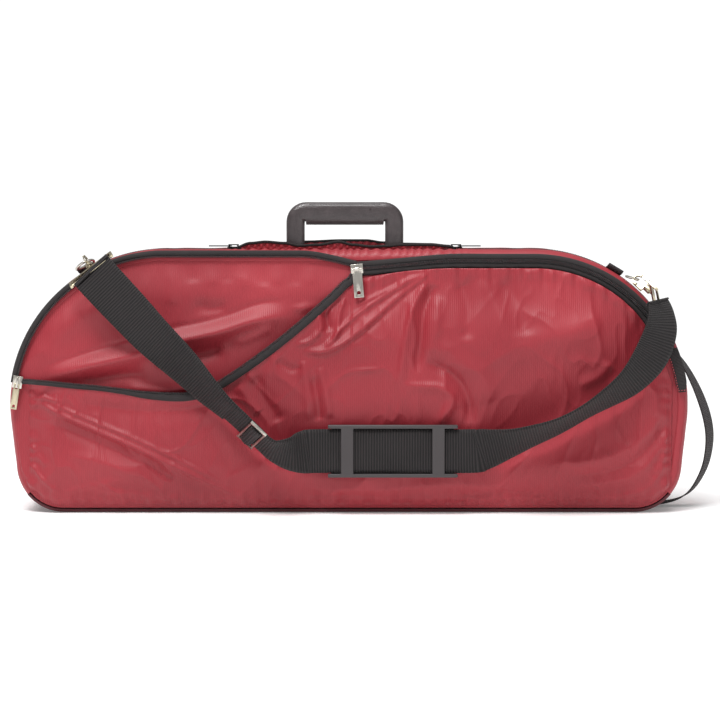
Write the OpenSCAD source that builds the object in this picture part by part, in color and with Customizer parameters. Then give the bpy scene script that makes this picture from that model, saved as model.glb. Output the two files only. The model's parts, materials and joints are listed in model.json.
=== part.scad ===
// Half-moon carry bag with a stiffened shell, a rigid case handle and a shoulder strap.
// +X is the wearer's right of the front, -Y is the front and +Z is up. The origin is at the
// centre of the base, on the ground.

/* [Bag body] */
// Length of the bag from end to end
body_length = 784; // [700:1:900]
// Height of the bag without its handle
body_height = 304; // [280:1:340]
// Radius of the two shoulders
shoulder_radius = 180; // [150:1:190]
// Radius of the two bottom corners
corner_radius = 55; // [40:1:70]
// How far the bottom corners stand in from the widest point
corner_tuck = 7; // [4:1:12]
// Distance from the origin to the front wall's outer face
front_depth = 75; // [65:1:90]
// Distance from the origin to the rear wall's outer face
rear_depth = 75; // [65:1:90]
// Thickness of the padded nylon walls
wall = 3; // [2:0.5:4]
// Distance from the origin forward to the parting line of the main zip
parting_depth = 45; // [40:1:55]
// Height at which the base panel ends and the arched gusset begins
base_rise = 20; // [15:1:30]

/* [Front pocket] */
// How far the pocket stands out from the front wall
pocket_bulge = 20; // [14:1:24]
// Half of the width of the pocket panel between its side seams
pocket_half_width = 372; // [360:1:374]
// Width of one zip tape from its coil to its stitched edge
tape_width = 7; // [5:0.5:9]
// Where the upper slider rests, measured from the middle
slider_x = 9; // [0:1:30]
// Height of the upper slider
slider_z = 282; // [278:1:286]

/* [Carry handle] */
// Outer width of the handle
handle_width = 137; // [120:1:150]
// Width of each leg
handle_bar = 22; // [18:1:26]
// Height of the grip between the legs
handle_grip = 27; // [24:1:28]
// Thickness of the handle from front to back
handle_depth = 16; // [12:1:18]
// Height of the handle's top above the ground
handle_top = 359; // [350:1:370]
// Where the middle of the handle is along the bag
handle_x = -5; // [-10:1:10]
// Height of the handle's pivot pins
pivot_z = 303; // [301:1:306]
// Distance from the origin forward to the handle
handle_y = -30; // [-32:1:-28]
// Radius of the pivot pins
pin_radius = 2.5; // [2:0.25:3]

/* [Shoulder strap] */
// Width of the shoulder webbing
webbing_width = 50; // [40:1:50]
// Thickness of one layer of webbing
webbing_thick = 1.8; // [1.2:0.1:2.2]
// Length of the moulded shoulder pad
pad_length = 148; // [130:1:150]
// Height of the moulded shoulder pad
pad_height = 60; // [58:1:66]

/* [End strap] */
// Width of the carry loop at the right end
end_strap_width = 25; // [20:1:30]
// Radius of the carry loop
end_strap_radius = 119; // [110:1:124]

/* [Hidden] */
$fn = 48;

// Clearance between pieces that move past each other
gap = 0.3;
// Half gap of the main zip, between the tray and the lid
part_gap = 0.6;
shoulder_x = body_length / 2 - shoulder_radius;
shoulder_z = body_height - shoulder_radius;
corner_x = body_length / 2 - corner_tuck - corner_radius;
corner_z = corner_radius;

// Angle of the straight stretch that joins a shoulder to a bottom corner
flank_run = [corner_x - shoulder_x, corner_z - shoulder_z];
flank_angle = atan2(flank_run[1], flank_run[0])
    + acos((shoulder_radius - corner_radius) / norm(flank_run));

// Stiffening plate under the slot, and the rivets through it
foam_thick = 4;
plate_thick = 2;
plate_z = pivot_z - handle_depth / 2 - 2 * plate_thick - 0.5;
rivet_radius = 2;

// Stepped front rim, so that the front edge is rounded off
rim_step = 3;
rim_y = -front_depth + 9;
base_clear = 4;

// Pocket zip line: half gap between its coils and the width of one coil
coil_gap = 0.5;
coil_width = 0.7;
zip_front = -80;
zip_thick = 1.6;
left_zip_radius = 171;
right_zip_radius = 167;
left_zip_end = 171;
right_zip_end = 22;
slider_slope = atan2(9, 106);

// Sliders: standoff of their plates from the zip's middle plane, plate, window under the bridge,
// half width of the post, and how far the upper pull leans out on the cloth
pocket_span = 1.6;
main_span = 2.5;
plate = 1.6;
window = 1.7;
post = 0.3;
lean = 8;
zip_middle = zip_front + zip_thick / 2;
left_slider_angle = left_zip_end - 0.5;
left_slider = [-shoulder_x + left_zip_radius * cos(left_slider_angle), zip_middle,
    shoulder_z + left_zip_radius * sin(left_slider_angle)];

// Slot in the top that the handle stands in
slot_left = -120;
slot_right = 110;
slot_rear = 2;
lip_height = 5;
binding_height = 2.5;

// Free edge of the open pocket, from the left slider to the upper slider, across and up
pocket_mouth = [[-360, 152], [-344, 151], [-286, 146], [-229, 138], [-194, 136], [-154, 146],
    [-114, 172], [-68, 207], [-22, 247], [-6, 263], [2, 268.5]];

// Shoulder webbing: across, back, up, and the angle at which it stands out from the front
strap_left = [[-291.5, -108.5, 280.4, 0], [-262, -111, 249, 8], [-228, -113, 213, 20],
    [-195, -115, 181, 34], [-163, -118, 149, 50], [-140, -121, 127, 60], [-122, -122.5, 110, 62],
    [-108, -122.5, 97, 62], [-94, -122.5, 84, 62], [-83, -121, 77, 54]];
strap_right = [[-66, -115, 73, 34], [-50, -107.5, 74, 8], [-37, -105, 75, 0], [50, -105, 75, 0],
    [137, -105, 75, 0], [152, -106.5, 77, 14], [172, -112, 82, 36], [196, -117.5, 89, 52],
    [232, -121, 103, 63], [267, -122, 121, 66], [295, -119.5, 138, 58], [322, -114, 158, 44],
    [343, -109, 183, 32], [354, -104, 210, 36], [356, -95, 230, 48], [354.7, -80.5, 245, 58]];

// Where the hooks hang: the ring's bar, the hook's centre, its axis and the strap bar's direction
left_ring = [-304, -66, 284.5];
left_contact = [-300.01, -77.27, 291.18];
left_axis = [0.25, -0.912, -0.327];
left_bar = [0.795, 0, 0.607];
right_ring = [320.2, -62, 273];
right_contact = [333.6, -64, 269];
right_axis = [0.62, -0.45, -0.64];
right_bar = [0.195, 0.881, -0.431];
eye_reach = 34;
ring_wire = 3;
ring_width = 24;

// Middle of the adjuster, and of the pad
adjuster_mid = [-108, -122.5, 97];
adjuster_run = [28, 0, -26];
adjuster_tilt = 62;
pad_mid = [50, -105, 75];

function arc(centre, r, from, to, steps) =
    [for (i = [0:steps]) let (a = from + (to - from) * i / steps)
        [centre[0] + r * cos(a), centre[1] + r * sin(a)]];

function mirrored(points) = [for (i = [len(points) - 1:-1:0]) [-points[i][0], points[i][1]]];

function reversed(points) = [for (i = [len(points) - 1:-1:0]) points[i]];

function half_outline(inset) = concat(
    arc([corner_x, corner_z], corner_radius - inset, -90, flank_angle, 10),
    arc([shoulder_x, shoulder_z], shoulder_radius - inset, flank_angle, 90, 24));

// The half-moon outline, drawn in by inset on every side
function outline(inset) = concat(half_outline(inset), mirrored(half_outline(inset)));

// The pocket zip's line, moved outwards by shift, from the left slider to the right end
function zip_line(shift) = concat(
    arc([-shoulder_x, shoulder_z], left_zip_radius + shift, left_zip_end, 90, 20),
    [[-45, shoulder_z + left_zip_radius + shift], [slider_x, slider_z + shift],
        [slider_x + 106, slider_z + 9 + shift]],
    arc([shoulder_x, shoulder_z], right_zip_radius + shift, 90, right_zip_end, 20));

// The closed stretch of the pocket zip only
function closed_line(shift) = concat(
    [[slider_x + 8, slider_z + 0.7 + shift], [slider_x + 106, slider_z + 9 + shift]],
    arc([shoulder_x, shoulder_z], right_zip_radius + shift, 90, right_zip_end, 20));

function unit(v) = v / norm(v);

// Placement of a piece by its origin, its x axis and its y axis
function placed(origin, x_axis, y_axis) =
    let (x = unit(x_axis), z = unit(cross(x, y_axis)), y = cross(z, x))
    [[x[0], y[0], z[0], origin[0]], [x[1], y[1], z[1], origin[1]],
        [x[2], y[2], z[2], origin[2]], [0, 0, 0, 1]];

// Direction of the webbing's width where it runs along run and stands out by tilt degrees
function width_axis(run, tilt) =
    let (across = unit([-run[2], 0, run[0]])) unit(cos(tilt) * across - sin(tilt) * [0, 1, 0]);

module upright(front, back) {
    translate([0, back, 0])
        rotate([90, 0, 0])
            linear_extrude(back - front)
                children();
}

module half_moon(inset, floor_z = 0) {
    intersection() {
        polygon(outline(inset));
        translate([-body_length, floor_z])
            square([2 * body_length, body_height]);
    }
}

module half_moon_ring(outer, inner, floor_z = 0) {
    difference() {
        half_moon(outer, floor_z);
        polygon(outline(inner));
    }
}

module slot_block(bottom, top) {
    translate([slot_left, -parting_depth - 5, bottom])
        cube([slot_right - slot_left, slot_rear + parting_depth + 5, top - bottom]);
}

module band(outer, inner) {
    polygon(concat(outer, reversed(inner)));
}

// ---- Tray: the rear half with the base ----

module rear_panel() {
    color("firebrick")
        upright(rear_depth - 4, rear_depth)
            half_moon(0);
}

module rear_gusset() {
    color("firebrick")
        difference() {
            upright(-parting_depth + part_gap, rear_depth - 4)
                half_moon_ring(0, wall, base_rise);
            slot_block(body_height - 10, body_height + 5);
        }
}

module base_panel() {
    color("darkred")
        upright(-front_depth + wall + gap, rear_depth - 4)
            difference() {
                intersection() {
                    polygon(outline(0));
                    translate([-body_length, 0])
                        square([2 * body_length, base_rise]);
                }
                polygon(outline(wall));
            }
}

module base_board() {
    color("dimgray")
        translate([-corner_x, -front_depth + 11, wall])
            cube([2 * corner_x, rear_depth + front_depth - 20, wall]);
}

module foam_liner() {
    color("gray")
        difference() {
            upright(-parting_depth + 7, rear_depth - 9)
                half_moon_ring(wall, wall + foam_thick, base_rise);
            slot_block(body_height - 20, body_height + 5);
        }
}

module rear_stiffener() {
    color("gray")
        upright(rear_depth - 9, rear_depth - 4)
            half_moon(wall + 0.2, 2 * wall + 0.5);
}

module handle_plate() {
    color("silver")
        difference() {
            translate([slot_left - 14, handle_y - 14, plate_z])
                cube([slot_right - slot_left + 28, 54, plate_thick]);
            rivet_holes(rivet_radius);
        }
}

// Wooden packers that hold the plate off the foam, at each end of the slot
module handle_packers() {
    top = body_height - wall - foam_thick;
    color("burlywood")
        for (x = [slot_left - 14, slot_right + 1])
            translate([x, handle_y - 7, plate_z + plate_thick])
                cube([13, 47, top - plate_z - plate_thick]);
}

module rivet_holes(r) {
    for (side = [-1, 1], back = [-1, 1])
        translate([leg_middle(side), handle_y + 2 + back * 12, plate_z - 5])
            cylinder(r = r, h = 15);
}

function leg_middle(side) = handle_x + side * (handle_width - handle_bar) / 2;

module handle_posts() {
    ear = 2;
    half = handle_bar / 2 + 0.5;
    color("silver")
        for (side = [-1, 1])
            difference() {
                union() {
                    translate([leg_middle(side) - half - ear, handle_y - 14, plate_z + plate_thick])
                        cube([2 * (half + ear), 32, plate_thick]);
                    for (x = [-half - ear, half])
                        translate([leg_middle(side) + x, handle_y - 7, plate_z + plate_thick])
                            cube([ear, 14, pivot_z + 6 - plate_z - plate_thick]);
                }
                translate([leg_middle(side) - half - 5, handle_y, pivot_z])
                    rotate([0, 90, 0])
                        cylinder(r = pin_radius, h = 2 * half + 10);
                rivet_holes(rivet_radius);
            }
}

module handle_pins() {
    half = handle_bar / 2 + 2.5;
    head = 1.2;
    color("silver")
        for (side = [-1, 1])
            translate([leg_middle(side) - half, handle_y, pivot_z])
                rotate([0, 90, 0])
                    union() {
                        cylinder(r = pin_radius, h = 2 * half + head);
                        for (z = [-head, 2 * half])
                            translate([0, 0, z])
                                cylinder(r = pin_radius + 1, h = head);
                    }
}

module handle_rivets() {
    head = 1.2;
    color("silver")
        for (side = [-1, 1], back = [-1, 1])
            translate([leg_middle(side), handle_y + 2 + back * 12, plate_z])
                union() {
                    cylinder(r = rivet_radius, h = 2 * plate_thick);
                    for (z = [-head, 2 * plate_thick])
                        translate([0, 0, z])
                            cylinder(r = rivet_radius + 1.5, h = head);
                }
}

module slot_lip(y, thick) {
    translate([slot_left + 2, y, body_height])
        cube([slot_right - slot_left - 4, thick, lip_height]);
}

module slot_binding(y, thick) {
    translate([slot_left, y, body_height + lip_height])
        cube([slot_right - slot_left, thick, binding_height]);
}

module slot_lip_rear() {
    color("indianred")
        slot_lip(slot_rear, 2);
}

module slot_binding_rear() {
    color("black")
        slot_binding(slot_rear - 0.5, 3);
}

module main_zip_strip(front, back, rise) {
    difference() {
        upright(front, back)
            half_moon_ring(-rise, 0, base_rise + 4);
        slot_block(body_height - 5, body_height + 5);
    }
}

module main_zip_tape_rear() {
    color("black")
        main_zip_strip(-parting_depth + part_gap + coil_width, -parting_depth + 5, 0.6);
}

module main_zip_coil_rear() {
    color("dimgray")
        main_zip_strip(-parting_depth + part_gap, -parting_depth + part_gap + coil_width, 1.2);
}

module end_strap() {
    centre = [body_length / 2 + 29 - end_strap_radius, 96];
    color("black")
        upright(-22, -22 + end_strap_width)
            difference() {
                band(arc(centre, end_strap_radius + 1, -52, 52, 24),
                    arc(centre, end_strap_radius - 1, -52, 52, 24));
                polygon(outline(-0.2));
            }
}

// ---- Lid: the front half, hinged along its bottom seam ----

module front_wall() {
    color("firebrick")
        upright(-front_depth, -front_depth + wall)
            half_moon(2 * rim_step, base_clear);
}

module front_gusset() {
    color("firebrick")
        union() {
            upright(rim_y, -parting_depth - part_gap)
                half_moon_ring(0, wall, base_rise + gap);
            upright(-front_depth + wall, rim_y)
                half_moon_ring(rim_step, 2 * rim_step, base_rise + gap);
            upright(rim_y - 0.01, rim_y + wall)
                half_moon_ring(rim_step, 2 * rim_step, base_rise + gap);
        }
}

module front_stiffener() {
    color("gray")
        upright(-front_depth + wall, -front_depth + wall + 3)
            half_moon(2 * rim_step + 0.2, 2 * wall + 2);
}

module slot_lip_front() {
    color("indianred")
        slot_lip(-parting_depth - part_gap - 3, 2);
}

module slot_binding_front() {
    color("black")
        slot_binding(-parting_depth - part_gap - 3.4, 2.8);
}

module main_zip_tape_front() {
    color("black")
        main_zip_strip(-parting_depth - 5, -parting_depth - part_gap - coil_width, 0.6);
}

module main_zip_coil_front() {
    color("dimgray")
        main_zip_strip(-parting_depth - part_gap - coil_width, -parting_depth - part_gap, 1.2);
}

// The pocket panel's region, drawn in by inset at its sewn edges and open at its mouth
module pocket_region(inset) {
    difference() {
        intersection() {
            polygon(outline(8 + inset));
            translate([-pocket_half_width + inset, 0])
                square([2 * (pocket_half_width - inset), body_height]);
            union() {
                polygon(outline(shoulder_radius - right_zip_radius + 8.2 + inset));
                translate([-body_length, 0])
                    square([2 * body_length, 150]);
            }
        }
        polygon(concat([[-body_length, 134], [-364, 134]], pocket_mouth,
            [[12, slider_z - 8.2], [12, body_height + 20], [-body_length, body_height + 20]]));
        translate([slider_x, slider_z - 8.2 - inset])
            polygon([[0, 0], [106, 9], [106, body_height], [0, body_height]]);
    }
}

module pocket_section(skin) {
    front = -front_depth - pocket_bulge;
    outer = [[-front_depth - gap, 6], [front, 52], [front, 200], [zip_front, slider_z + 4]];
    inner = [[-front_depth - gap, 13], [front + wall, 52], [front + wall, 200],
        [zip_front + wall, slider_z + 4]];
    filled = [[-front_depth - gap, slider_z + 4]];
    rotate([90, 0, 90])
        translate([0, 0, -body_length / 2])
            linear_extrude(body_length)
                polygon(skin ? concat(outer, reversed(inner)) : concat(outer, filled));
}

module pocket_panel() {
    color("firebrick")
        union() {
            intersection() {
                upright(-front_depth - pocket_bulge - 1, -front_depth - gap)
                    pocket_region(0);
                pocket_section(true);
            }
            intersection() {
                upright(-front_depth - pocket_bulge - 1, -front_depth - gap)
                    difference() {
                        pocket_region(0);
                        pocket_region(wall);
                    }
                pocket_section(false);
            }
        }
}

module pocket_zip_tape_upper() {
    inner = coil_gap + coil_width;
    color("black")
        union() {
            upright(zip_front, zip_front + zip_thick)
                band(zip_line(inner + tape_width), zip_line(inner));
            upright(zip_front, -front_depth)
                intersection() {
                    band(zip_line(inner + tape_width), zip_line(inner + tape_width - 1));
                    polygon(outline(2 * rim_step - 5.9));
                }
        }
}

module pocket_zip_coil_upper() {
    color("dimgray")
        upright(zip_front - 0.4, zip_front + zip_thick + 0.2)
            band(zip_line(coil_gap + coil_width), zip_line(coil_gap));
}

module mouth_edge(width, front, back) {
    upright(front, back)
        band([for (p = pocket_mouth) p + [0, width / 2]], [for (p = pocket_mouth) p - [0, width / 2]]);
}

module pocket_zip_tape_lower() {
    inner = coil_gap + coil_width;
    color("black")
        union() {
            upright(zip_front, zip_front + zip_thick)
                band(closed_line(-inner), closed_line(-inner - tape_width));
            mouth_edge(9, -front_depth - pocket_bulge - 1.4, -front_depth - pocket_bulge);
        }
}

module pocket_zip_coil_lower() {
    color("dimgray")
        upright(zip_front - 0.4, zip_front + zip_thick + 0.2)
            band(closed_line(-coil_gap), closed_line(-coil_gap - coil_width));
}

module pocket_zip_end_tab() {
    color("black")
        upright(zip_front - 1.5, -front_depth)
            band(arc([shoulder_x, shoulder_z], shoulder_radius - 2, 21, 6, 8),
                arc([shoulder_x, shoulder_z], shoulder_radius - 14, 21, 6, 8));
}

module ring_tabs() {
    color("black")
        union() {
            upright(rim_y + 2, -parting_depth - 6)
                band(arc([-shoulder_x, shoulder_z], shoulder_radius + 1.8, 125, 115, 6),
                    arc([-shoulder_x, shoulder_z], shoulder_radius, 125, 115, 6));
            upright(rim_y + 1, -parting_depth - 6)
                band(arc([shoulder_x, shoulder_z], shoulder_radius + 1.8, 70, 57, 6),
                    arc([shoulder_x, shoulder_z], shoulder_radius, 70, 57, 6));
        }
}

// Webbing: a flat strip swept along stations, each a centre point and a tilt
function station_run(stations, i) =
    let (a = max(i - 1, 0), b = min(i + 1, len(stations) - 1))
    unit([for (k = [0:2]) stations[b][k] - stations[a][k]]);

function strip_ring(stations, i, offset) =
    let (run = station_run(stations, i), s = stations[i],
        side = width_axis(run, s[3]) * webbing_width / 2,
        up = unit(cross(side, run)),
        mid = [s[0], s[1], s[2]] + up * offset,
        half = up * webbing_thick / 2)
    [mid + side + half, mid - side + half, mid - side - half, mid + side - half];

// A smooth line through the stations, with steps more stations in each stretch
function refined(stations, steps) = let (last = len(stations) - 1)
    [for (i = [0:last - 1], n = [0:steps - 1])
        let (t = n / steps, a = stations[max(i - 1, 0)], b = stations[i], c = stations[i + 1],
            d = stations[min(i + 2, last)])
            b + (c - a) * t / 2 + (2 * a - 5 * b + 4 * c - d) * t * t / 2
                + (3 * b - 3 * c + d - a) * t * t * t / 2,
        stations[last]];

// The two broad faces are split along the same diagonals, so that the strip keeps its thickness
module strip(stations, offset) {
    count = len(stations);
    points = [for (i = [0:count - 1]) each strip_ring(stations, i, offset)];
    walls = [for (i = [0:count - 2], k = [0:3])
        let (j = (k + 1) % 4, a = 4 * i + k, b = 4 * i + j, c = a + 4, d = b + 4)
            each k < 2 ? [[a, b, d], [a, d, c]] : [[a, b, c], [b, d, c]]];
    ends = [[2, 1, 0], [3, 2, 0], [4 * count - 4, 4 * count - 3, 4 * count - 2],
        [4 * count - 4, 4 * count - 2, 4 * count - 1]];
    polyhedron(points, concat(walls, ends));
}

module webbing_main() {
    color("black")
        strip(refined(concat(strap_left, strap_right), 3), 0);
}

module webbing_return() {
    color("black")
        strip([for (i = [0:15]) refined(strap_left, 3)[i]], -webbing_thick - gap);
}

// ---- Hooks, rings and strap fittings ----

module bar(size, place) {
    translate(place - size / 2)
        cube(size);
}

module strap_eye() {
    wire = 3;
    reach = webbing_width / 2 + 3.5;
    union() {
        translate([20.4, 0, 0])
            rotate([0, 90, 0])
                cylinder(r = 2, h = 3.6);
        translate([18, 0, 0])
            rotate([0, 90, 0])
                cylinder(r = 2.8, h = 2.4);
        bar([wire, 2 * reach, wire], [24.5, 0, 0]);
        for (side = [-1, 1])
            bar([eye_reach - 24.5 + wire, wire, wire], [(24.5 + eye_reach) / 2, side * reach, 0]);
        translate([eye_reach, -reach, 0])
            rotate([-90, 0, 0])
                cylinder(r = 1.5, h = 2 * reach);
    }
}

module snap_hook() {
    difference() {
        union() {
            rotate([90, 0, 0])
                translate([0, 0, -1.5])
                    linear_extrude(3)
                        union() {
                            band(arc([0, 0], 7.5, 90, 270, 16), arc([0, 0], 4.5, 90, 270, 16));
                            translate([-0.01, -7.5])
                                square([12, 3]);
                            translate([8, -7.5])
                                square([4, 12]);
                        }
            translate([11.9, 0, 0])
                rotate([0, 90, 0])
                    cylinder(r = 4, h = 8.2);
        }
        translate([17.6, 0, 0])
            rotate([0, 90, 0])
                cylinder(r = 3.2, h = 3);
    }
}

module snap_gate() {
    union() {
        bar([13.4, 2.4, 2.2], [7.1, 0, 6.1]);
        translate([11, 0, 7])
            cylinder(r = 1.6, h = 2.2);
    }
}

module d_ring() {
    // Bar along y through the origin and a half-round loop towards +x
    half = ring_width / 2 - ring_wire / 2;
    union() {
        translate([0, -ring_width / 2, 0])
            rotate([-90, 0, 0])
                cylinder(d = ring_wire, h = ring_width);
        for (side = [-1, 1])
            bar([3, ring_wire, ring_wire], [2, side * half, 0]);
        translate([3.4, 0, 0])
            rotate([0, 0, -90])
                rotate_extrude(angle = 180)
                    translate([half, 0])
                        circle(d = ring_wire, $fn = 24);
    }
}

module left_hang() {
    multmatrix(placed(left_contact, left_axis, left_bar))
        children();
}

module right_hang() {
    multmatrix(placed(right_contact, right_axis, right_bar))
        children();
}

module strap_eye_left() {
    color("silver")
        left_hang()
            strap_eye();
}

module strap_eye_right() {
    color("silver")
        right_hang()
            strap_eye();
}

module hook_left() {
    color("tan")
        left_hang()
            snap_hook();
}

module hook_right() {
    color("tan")
        right_hang()
            snap_hook();
}

module hook_gate_left() {
    color("silver")
        left_hang()
            snap_gate();
}

module hook_gate_right() {
    color("silver")
        right_hang()
            snap_gate();
}

module d_ring_left() {
    color("silver")
        multmatrix(placed(left_ring, left_contact - left_ring, [0.866, 0, 0.5]))
            d_ring();
}

module d_ring_right() {
    color("silver")
        multmatrix(placed(right_ring, right_contact - right_ring, [0, 1, 0]))
            d_ring();
}

module strap_adjuster() {
    wire = 3;
    reach = webbing_width / 2 + 3;
    color("silver")
        multmatrix(placed(adjuster_mid, adjuster_run, width_axis(unit(adjuster_run), adjuster_tilt)))
            translate([0, 0, webbing_thick / 2 + 2 * gap + wire / 2 + 0.2])
                union() {
                    for (x = [-10, 0, 10])
                        translate([x, -reach, 0])
                            rotate([-90, 0, 0])
                                cylinder(r = wire / 2, h = 2 * reach);
                    for (side = [-1, 1])
                        bar([20 + wire, wire, wire], [0, side * reach, 0]);
                }
}

module shoulder_pad() {
    rail = 5.7;
    channel = 4.4;
    color("dimgray")
        translate(pad_mid)
            union() {
                for (side = [-1, 1])
                    bar([pad_length, channel + 4, rail / 1.4],
                        [0, 0, side * (pad_height - rail / 1.4) / 2]);
                for (side = [-1, 1])
                    bar([14, 2, pad_height], [side * 52, -channel / 2 - 1, 0]);
                bar([pad_length - 8, 2, pad_height], [0, channel / 2 + 1, 0]);
            }
}

// ---- Carry handle ----

module handle_outline(inset, bottom, drop = 0) {
    half = handle_width / 2 - inset;
    top = handle_top - inset - drop;
    corner = max(8, handle_bar + 1 - inset);
    polygon(concat([[handle_x - half, bottom], [handle_x + half, bottom]],
        arc([handle_x + half - corner, top - corner], corner, 0, 90, 8),
        arc([handle_x - half + corner, top - corner], corner, 90, 180, 8)));
}

module handle_arch(outer, inner, bottom, drop = 0) {
    difference() {
        handle_outline(outer, bottom);
        handle_outline(inner, bottom - 1, drop);
    }
}

module handle_leather() {
    core = handle_bar / 2 - 2;
    color("saddlebrown")
        difference() {
            intersection() {
                upright(handle_y - handle_depth / 2, handle_y + handle_depth / 2)
                    handle_arch(0, handle_bar, pivot_z - handle_depth / 2, handle_grip - handle_bar);
                union() {
                    translate([handle_x - handle_width, handle_y, pivot_z])
                        rotate([0, 90, 0])
                            cylinder(r = handle_depth / 2 - 0.01, h = 2 * handle_width);
                    translate([handle_x - handle_width, handle_y - handle_depth, pivot_z])
                        cube([2 * handle_width, 2 * handle_depth, 100]);
                }
            }
            upright(handle_y - 5, handle_y + 5)
                handle_arch(core, handle_bar - core, pivot_z - 5);
            translate([handle_x - handle_width, handle_y, pivot_z])
                rotate([0, 90, 0])
                    cylinder(r = pin_radius + 0.8, h = 2 * handle_width);
        }
}

module handle_core() {
    core = handle_bar / 2 - 2;
    color("silver")
        difference() {
            upright(handle_y - 5, handle_y + 5)
                handle_arch(core, handle_bar - core, pivot_z - 5);
            translate([handle_x - handle_width, handle_y, pivot_z])
                rotate([0, 90, 0])
                    cylinder(r = pin_radius + 0.05, h = 2 * handle_width);
        }
}

// ---- Zip sliders and pulls ----

// A slider that travels along x. Its plates stand off the zip's middle plane by span, its front
// faces +z, and a thin post joins the plates in the gap between the two coils.
module slider_body(span, bridge) {
    front = span + plate;
    union() {
        translate([-7, -5.5, span])
            cube([14, 11, plate]);
        translate([-6, -5, -span - 1.3])
            cube([12, 10, 1.3]);
        translate([-6, -post, -span - 1.3])
            cube([5, 2 * post, 2 * span + 1.4]);
        for (x = [-6, 4])
            translate([x, -bridge, front - 0.1])
                cube([2, 2 * bridge, 3]);
        translate([-6, -bridge, front + window])
            cube([12, 2 * bridge, 1.2]);
    }
}

// A pull that swings across the zip: a ring round the bridge with a holed tab along -y
module cross_pull(span, length, width, hole) {
    middle = span + plate + window + 0.6;
    translate([0, 0, middle])
        rotate([-lean, 0, 0])
            difference() {
                union() {
                    translate([-2.5, 0, 0])
                        rotate([0, 90, 0])
                            cylinder(r = 2.1, h = 5);
                    translate([-2.5, -5, -0.7])
                        cube([5, 4, 1.4]);
                    translate([-width / 2, -length, -0.7])
                        cube([width, length - 4.5, 1.4]);
                }
                translate([-3, 0, 0])
                    rotate([0, 90, 0])
                        cylinder(r = 1.2, h = 6);
                translate([0, -length + width / 2, -1])
                    cylinder(r = hole, h = 2);
            }
}

// A pull that swings along the zip: a bar under the bridge, two arms and a holed tab along -x
module along_pull(span, length, width, hole) {
    middle = span + plate + window / 2;
    arm = 1.3;
    translate([-2.5, 0, middle])
        difference() {
            union() {
                translate([0, -3, 0])
                    rotate([-90, 0, 0])
                        cylinder(r = 0.6, h = 6);
                for (y = [-3, 3 - arm])
                    translate([-6.5, y, -0.6])
                        cube([6.5, arm, 1.2]);
                translate([-length, -width / 2, -0.6])
                    cube([length - 5.5, width, 1.2]);
            }
            translate([-length + width / 2, 0, -1])
                cylinder(r = hole, h = 2);
        }
}

module on_front(place, turn) {
    translate(place)
        rotate([90, 0, 0])
            rotate([0, 0, turn])
                children();
}

module on_top(x, turn) {
    translate([x, -parting_depth, body_height - 1])
        rotate([0, 0, turn])
            children();
}

module pocket_slider_upper() {
    color("silver")
        on_front([slider_x, zip_middle, slider_z], slider_slope)
            slider_body(pocket_span, 0.7);
}

module pocket_pull_upper() {
    color("silver")
        on_front([slider_x, zip_middle, slider_z], slider_slope)
            cross_pull(pocket_span, 33, 11, 2.2);
}

module pocket_slider_left() {
    color("silver")
        on_front(left_slider, left_slider_angle - 90)
            slider_body(pocket_span, 1.1);
}

module pocket_pull_left() {
    color("tan")
        on_front(left_slider, left_slider_angle - 90)
            along_pull(pocket_span, 29, 7.6, 1.6);
}

module main_slider_left() {
    color("black")
        on_top(slot_left - 14, 0)
            slider_body(main_span, 1.1);
}

module main_pull_left() {
    color("black")
        on_top(slot_left - 14, 0)
            along_pull(main_span, 26, 7, 1.5);
}

module main_slider_right() {
    color("black")
        on_top(slot_right + 14, 180)
            slider_body(main_span, 1.1);
}

module main_pull_right() {
    color("black")
        on_top(slot_right + 14, 180)
            along_pull(main_span, 26, 7, 1.5);
}

rear_panel();
rear_gusset();
base_panel();
base_board();
foam_liner();
rear_stiffener();
handle_plate();
handle_packers();
handle_posts();
handle_pins();
handle_rivets();
slot_lip_rear();
slot_binding_rear();
main_zip_tape_rear();
main_zip_coil_rear();
end_strap();
front_wall();
front_gusset();
front_stiffener();
slot_lip_front();
slot_binding_front();
main_zip_tape_front();
main_zip_coil_front();
pocket_panel();
pocket_zip_tape_upper();
pocket_zip_coil_upper();
pocket_zip_tape_lower();
pocket_zip_coil_lower();
pocket_zip_end_tab();
ring_tabs();
webbing_main();
webbing_return();
strap_eye_left();
strap_eye_right();
handle_leather();
handle_core();
pocket_slider_upper();
pocket_pull_upper();
pocket_slider_left();
pocket_pull_left();
main_slider_left();
main_pull_left();
main_slider_right();
main_pull_right();
d_ring_left();
d_ring_right();
hook_left();
hook_right();
hook_gate_left();
hook_gate_right();
strap_adjuster();
shoulder_pad();
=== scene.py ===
# %% [markdown]
# # A half-moon carry bag
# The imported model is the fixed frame: it knows where every piece is and what moves with what.
# This notebook dresses it. Every length below is in metres, in the same frame as the model:
# X runs along the bag, -Y is the front and Z is up.

# %% Load the frame
import json
from math import acos, atan2, copysign, cos, exp, hypot, pi, radians, sin, sqrt, tau

import bmesh
import bpy
from mathutils import Matrix, Vector
from mathutils.noise import noise


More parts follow.
